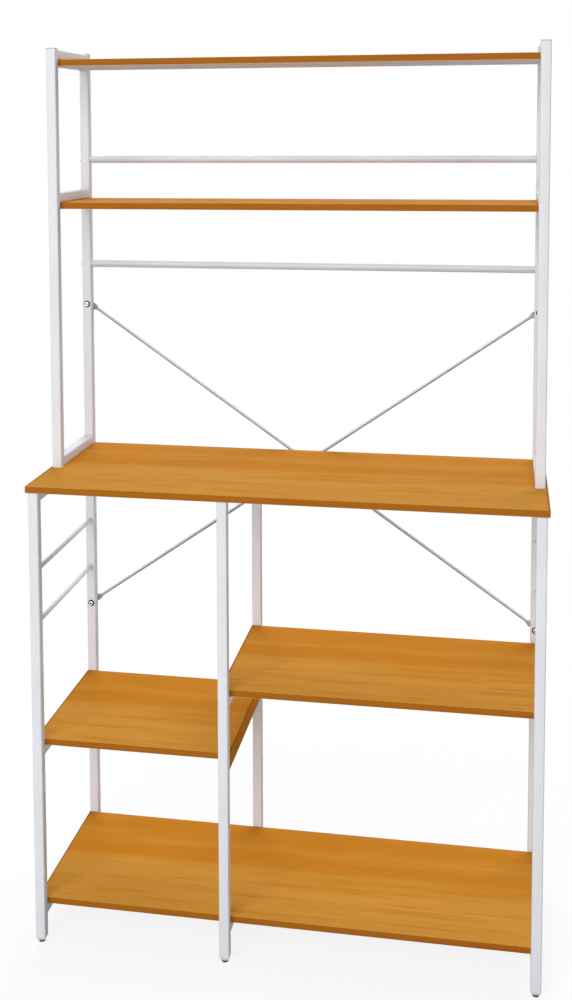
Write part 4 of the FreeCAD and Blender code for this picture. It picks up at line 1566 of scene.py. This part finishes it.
@dataclass
class TubeStoppers(LikePieces):
    """Moulded stoppers: an end that shows, drawn in towards its outer face, and an insert in the tube."""

    slot: Slot = Slot.WHITE
    ending: str = "moulded"
    out: Way = Way.UP
    tube_node: str = ""
    tube: TubeStock = TubeStock()
    draw_in: float = 0.0
    clearance: float = 0.2 * MM
    arris: float = 0.7 * MM
    arris_steps: int = 3

    def one(self, box: Box) -> Shape:
        """One stopper, at the end of its tube.

        Args:
            box: The stopper's box.

        Returns:
            The stopper's shape.
        """
        low, high, tube = box.low.copy(), box.high.copy(), box_of(self.tube_node)
        if self.out is Way.DOWN:
            inward, high.z = Way.UP, tube.low.z
            insert = box.high.z - high.z
        else:
            inward, low.z = Way.DOWN, tube.high.z
            insert = box.low.z - low.z
        shape = Shape.block(Box(low, high))
        end = [vert for face in shape.faces_towards(self.out) for vert in face.verts]
        share = 1.0 - 2.0 * self.draw_in / box.size.x
        bmesh.ops.scale(shape.bm, vec=(share, share, 1.0), verts=end, space=Matrix.Translation(-box.centre))
        level = shape.level_edges()
        flanks = [edge for edge in shape.bm.edges if edge not in level]
        shape.round_edges(flanks, self.tube.corner, self.tube.rounding)
        rim = [edge for face in shape.faces_towards(self.out, SQUARE_ON) for edge in face.edges]
        shape.round_edges(rim, self.arris, self.arris_steps)
        inside = shape.faces_towards(inward, SQUARE_ON)
        bmesh.ops.inset_region(shape.bm, faces=inside, thickness=self.tube.wall + self.clearance,
                               use_even_offset=True)
        shape.pull(inside, insert)
        return shape.heal()


@dataclass
class LegPlugs(TubeStoppers):
    """Plugs with a tapered foot that close the legs below."""

    node: str = "leg_plugs"
    finishes: Sequence[Finish] = (WHITE_MOULDED,)
    out: Way = Way.DOWN
    tube_node: str = "left_front_leg"
    draw_in: float = 2.5 * MM


@dataclass
class PostCaps(TubeStoppers):
    """Flat caps in the tops of the posts."""

    node: str = "post_caps"
    finishes: Sequence[Finish] = (GREY_MOULDED,)
    tube_node: str = "hutch_left_front_post"


@dataclass
class LevellingFoot:
    """A ribbed glide on a threaded stud, which screws in and out of its leg.

    The pad's two roundings go inwards and up or down from its rim, in shares of the arris.
    """

    name: str
    rim_arris: float = 0.8 * MM
    foot_round: tuple[Span, ...] = ((1.5, 0.0), (0.4, 0.3), (0.0, 1.0))
    top_round: tuple[Span, ...] = ((0.0, 1.0), (0.3, 0.3), (1.0, 0.0))
    pad_steps: int = 36
    flank_slope: float = 0.1
    rib_edge: float = 0.1 * MM
    rib_depth: float = 0.25 * MM
    pitch: float = 1.0 * MM
    crest_span: Span = (0.42, 0.58)
    thread_depth: float = 0.45 * MM
    thread_steps: int = 16
    spare_turns: int = 2

    def build(self) -> None:
        """Build and dress the pad and the stud."""
        pad, stud = f"{self.name}_pad", f"{self.name}_stud"
        for node, shape, ending, finish, slot in (
                (pad, self.build_pad(box_of(pad)), "ribbed", DARK_MOULDED, Slot.GLIDE),
                (stud, self.build_stud(box_of(stud)), "threaded", BRIGHT_ZINC, Slot.ZINC)):
            finish_piece(shape, f"{node}_{ending}", [finish], [node], self.name)

    def build_pad(self, box: Box) -> Shape:
        """The glide: a turned pad with grip ribs on its rim.

        Args:
            box: The pad's box.

        Returns:
            The pad's shape.
        """
        rim, height, arris = box.size.x / 2, box.size.z, self.rim_arris
        shape = Shape.lathe([
            (0.0, 0.0), *((rim - inward * arris, up * arris) for inward, up in self.foot_round),
            *((rim - inward * arris, height - down * arris) for inward, down in self.top_round),
            (0.0, height)], self.pad_steps)
        flank = [face for face in shape.bm.faces if abs(face.normal.z) < self.flank_slope]
        ribs = [face for face in flank
                if math.floor(math.atan2(*face.calc_center_median().xy) * self.pad_steps / math.tau) % 2]
        bmesh.ops.inset_individual(shape.bm, faces=ribs, thickness=self.rib_edge, depth=-self.rib_depth)
        return shape.stand(Way.UP, Vector((box.centre.x, box.centre.y, box.low.z)))

    def build_stud(self, box: Box) -> Shape:
        """The stud: a helical thread between two flat ends.

        Args:
            box: The stud's box.

        Returns:
            The stud's shape.
        """
        crest, root = box.size.x / 2, box.size.x / 2 - self.thread_depth
        rise, fall = self.crest_span
        turns = math.ceil(box.size.z / self.pitch) + self.spare_turns
        profile = [(radius, (share - 1.0) * self.pitch)
                   for radius, share in ((root, 0.0), (crest, rise), (crest, fall), (root, 1.0))]
        shape = Shape.lathe(profile, self.thread_steps, turns, self.pitch)
        for level, way in ((0.0, Way.DOWN), (box.size.z, Way.UP)):
            shape.slice(way, (0.0, 0.0, level), clear=True)
        bmesh.ops.holes_fill(shape.bm, edges=shape.open_edges())
        return shape.heal().stand(Way.UP, Vector((box.centre.x, box.centre.y, box.low.z)))


@dataclass(frozen=True)
class SoftLamp:
    """A large lamp that looks at the shelf's middle line and isn't seen itself."""

    name: str
    place: Place
    target_height: float
    size: Span
    power: float

    def build(self) -> None:
        """Hang the lamp."""
        light = bpy.data.lights.new(self.name, "AREA")
        light.shape = "RECTANGLE"
        light.size, light.size_y = self.size
        light.energy = self.power
        lamp = bpy.data.objects.new(self.name, light)
        lamp.location = self.place
        aim = Vector((0.0, 0.0, self.target_height)) - Vector(self.place)
        lamp.rotation_euler = aim.to_track_quat("-Z", "Y").to_euler()
        lamp.visible_camera = False
        link(lamp)


@dataclass
class Studio:
    """A pale floor, a white background and large soft lamps."""

    floor_radius: float = 14.0
    floor_sides: int = 96
    floor_albedo: float = 0.42
    shadow_share: float = 0.16
    white_from: float = 0.9
    white_at: float = 2.2
    ambient: float = 0.37
    ambient_tint: Colour = (0.93, 0.985, 1.04)
    background: Colour = (1.0, 1.0, 1.0)
    lamps: tuple[SoftLamp, ...] = (
        SoftLamp("key_lamp", place=(-0.9, -4.2, 2.8), target_height=0.8, size=(3.4, 2.6), power=108.0),
        SoftLamp("low_lamp", place=(-0.7, -4.6, 0.9), target_height=0.8, size=(3.6, 1.7), power=60.0),
        SoftLamp("back_lamp", place=(0.2, 3.2, 3.3), target_height=0.6, size=(4.6, 2.6), power=142.0))

    def build(self) -> None:
        """Build the floor, the world and the lamps."""
        self.build_floor()
        self.build_world()
        for lamp in self.lamps:
            lamp.build()

    @staticmethod
    def seen(graph: Graph) -> Socket:
        """1 for the rays that see the background: from the camera, in a reflection or through glass.

        Args:
            graph: Nodes of the floor's material or of the world.

        Returns:
            The mask.
        """
        path = graph.add("ShaderNodeLightPath").outputs
        shown = graph.math("MAXIMUM", path["Is Camera Ray"], path["Is Glossy Ray"])
        return graph.math("MAXIMUM", shown, path["Is Transmission Ray"])

    def build_floor(self) -> None:
        """Lay a wide floor that keeps the object's shadow, fades to white and is clear from below."""
        bm = bmesh.new()
        bmesh.ops.create_circle(bm, cap_ends=True, segments=self.floor_sides, radius=self.floor_radius)
        mesh = bpy.data.meshes.new("floor")
        bm.to_mesh(mesh)
        bm.free()
        mesh.materials.append(self.floor_material())
        floor = bpy.data.objects.new("floor", mesh)
        link(floor)

    def floor_material(self) -> bpy.types.Material:
        """The floor's finish.

        Returns:
            The material.
        """
        material = bpy.data.materials.new("studio_floor")
        material.use_nodes = True
        material.node_tree.nodes.clear()
        graph = Graph(material.node_tree)
        bounce = graph.add("ShaderNodeBsdfDiffuse", {"Color": rgba((self.floor_albedo,) * 3)}).outputs[0]
        catcher = graph.add("ShaderNodeBsdfDiffuse", {"Color": rgba((self.shadow_share,) * 3)}).outputs[0]
        glow = graph.add("ShaderNodeEmission", {"Strength": 1.0 - self.shadow_share}).outputs[0]
        shadowed = graph.add("ShaderNodeAddShader", {0: catcher, 1: glow}).outputs[0]
        white = graph.add("ShaderNodeEmission", {"Color": rgba(self.background)}).outputs[0]
        clear = graph.add("ShaderNodeBsdfTransparent").outputs[0]
        away = graph.add("ShaderNodeVectorMath", {0: graph.object_place()}, operation="LENGTH")
        fade = graph.spread(away.outputs["Value"], self.white_from, self.white_at)
        near = graph.mix_shaders(fade, shadowed, white)
        above = graph.mix_shaders(self.seen(graph), bounce, near)
        below = graph.add("ShaderNodeNewGeometry").outputs["Backfacing"]
        graph.add("ShaderNodeOutputMaterial", {"Surface": graph.mix_shaders(below, above, clear)})
        return material

    def build_world(self) -> None:
        """Make the world white where it is seen, and a softer light on the object."""
        world = bpy.data.worlds.new("studio_world")
        world.use_nodes = True
        world.node_tree.nodes.clear()
        graph = Graph(world.node_tree)
        soft = {"Color": rgba(self.ambient_tint), "Strength": self.ambient}
        light = graph.add("ShaderNodeBackground", soft).outputs[0]
        white = graph.add("ShaderNodeBackground", {"Color": rgba(self.background)}).outputs[0]
        shown = graph.mix_shaders(self.seen(graph), light, white)
        graph.add("ShaderNodeOutputWorld", {"Surface": shown})
        bpy.context.scene.world = world


@dataclass
class PhotoCamera:
    """The photograph's camera: its place, its turns and its picture."""

    place: Place = (0.3669, -2.3928, 1.4568)
    yaw: float = -0.18812
    pitch: float = 0.08298
    roll: float = 0.00464
    picture: Span = (572.0, 1000.0)
    focal_pixels: float = 1351.7
    axis_pixel: Span = (245.4, 244.6)
    sensor: float = 36.0

    def build(self) -> None:
        """Set up the camera and make it the scene's own."""
        width, height = self.picture
        camera = bpy.data.cameras.new("photo_camera")
        camera.sensor_width = self.sensor
        camera.lens = self.focal_pixels / height * self.sensor
        camera.shift_x = (width / 2 - self.axis_pixel[0]) / height
        camera.shift_y = (self.axis_pixel[1] - height / 2) / height
        holder = bpy.data.objects.new("photo_camera", camera)
        holder.matrix_world = (Matrix.Translation(self.place) @ Matrix.Rotation(-self.yaw, 4, "Z")
                               @ Matrix.Rotation(math.pi / 2 - self.pitch, 4, "X")
                               @ Matrix.Rotation(-self.roll, 4, "Z"))
        link(holder)
        bpy.context.scene.camera = holder


def lower_frames() -> list[TubeFrame]:
    """The three frames under the desktop.

    Returns:
        The frames, from left to right.
    """
    levels = {Side.LEFT: ("desk", "shelf", "base"), Side.MIDDLE: ("high_shelf", "low_shelf", "base"),
              Side.RIGHT: ("desk", "shelf", "base")}
    frames = []
    for side, bars in levels.items():
        name = side.value
        frames.append(TubeFrame(
            uprights=[f"{name}_front_leg", f"{name}_back_leg"], bars=[f"{name}_{bar}_bar" for bar in bars],
            seam_way=Way.DOWN, rods="" if side is Side.MIDDLE else f"{name}_hook_rods",
            faced_bar="middle_low_shelf_bar" if side is Side.MIDDLE else ""))
    return frames


def hutch_frames() -> list[TubeFrame]:
    """The two frames that stand on the desktop.

    Returns:
        The frames, from left to right.
    """
    return [TubeFrame(uprights=[f"hutch_{side.value}_{end}_post" for end in ("front", "back")],
                      bars=[f"hutch_{side.value}_{level}_bar" for level in ("top", "middle", "bottom")],
                      seam_way=Way.UP) for side in (Side.LEFT, Side.RIGHT)]


def main() -> None:
    """Build the dressed shelf and its studio."""
    logging.basicConfig(level=logging.INFO, format="%(message)s")
    bpy.context.scene.view_settings.view_transform = "Standard"
    PhotoCamera().build()
    Studio().build()
    for side_frame in lower_frames() + hutch_frames():
        side_frame.build()
    for node in ("bottom_shelf", "left_shelf", "right_shelf", "desktop", "hutch_shelf", "top_shelf"):
        ShelfBoard(node).build()
    for node in ("upper_rail", "lower_rail"):
        HookRail(node).build()
    brace_bolts = [box for box in solids_of("frame_bolts") if box.long_axis == Way.FRONT.axis]
    BackBrace("falling_brace", falls=True).build(brace_bolts)
    BackBrace("rising_brace", falls=False).build(brace_bolts)
    for pieces in (ButtonBolts("frame_bolts"), ButtonBolts("hutch_bolts"), PanScrews("board_screws"),
                   PanScrews("hutch_shelf_screws"), HexNuts("nuts"), BraceRivet(), LegPlugs(), PostCaps()):
        pieces.build()
    for material_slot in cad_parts["brace_spacers"].material_slots:
        material_slot.material = BRIGHT_ZINC.material()
    for side in Side:
        for end in ("front", "back"):
            LevellingFoot(f"{side.value}_{end}_foot").build()


if __name__ == "__main__":
    main()
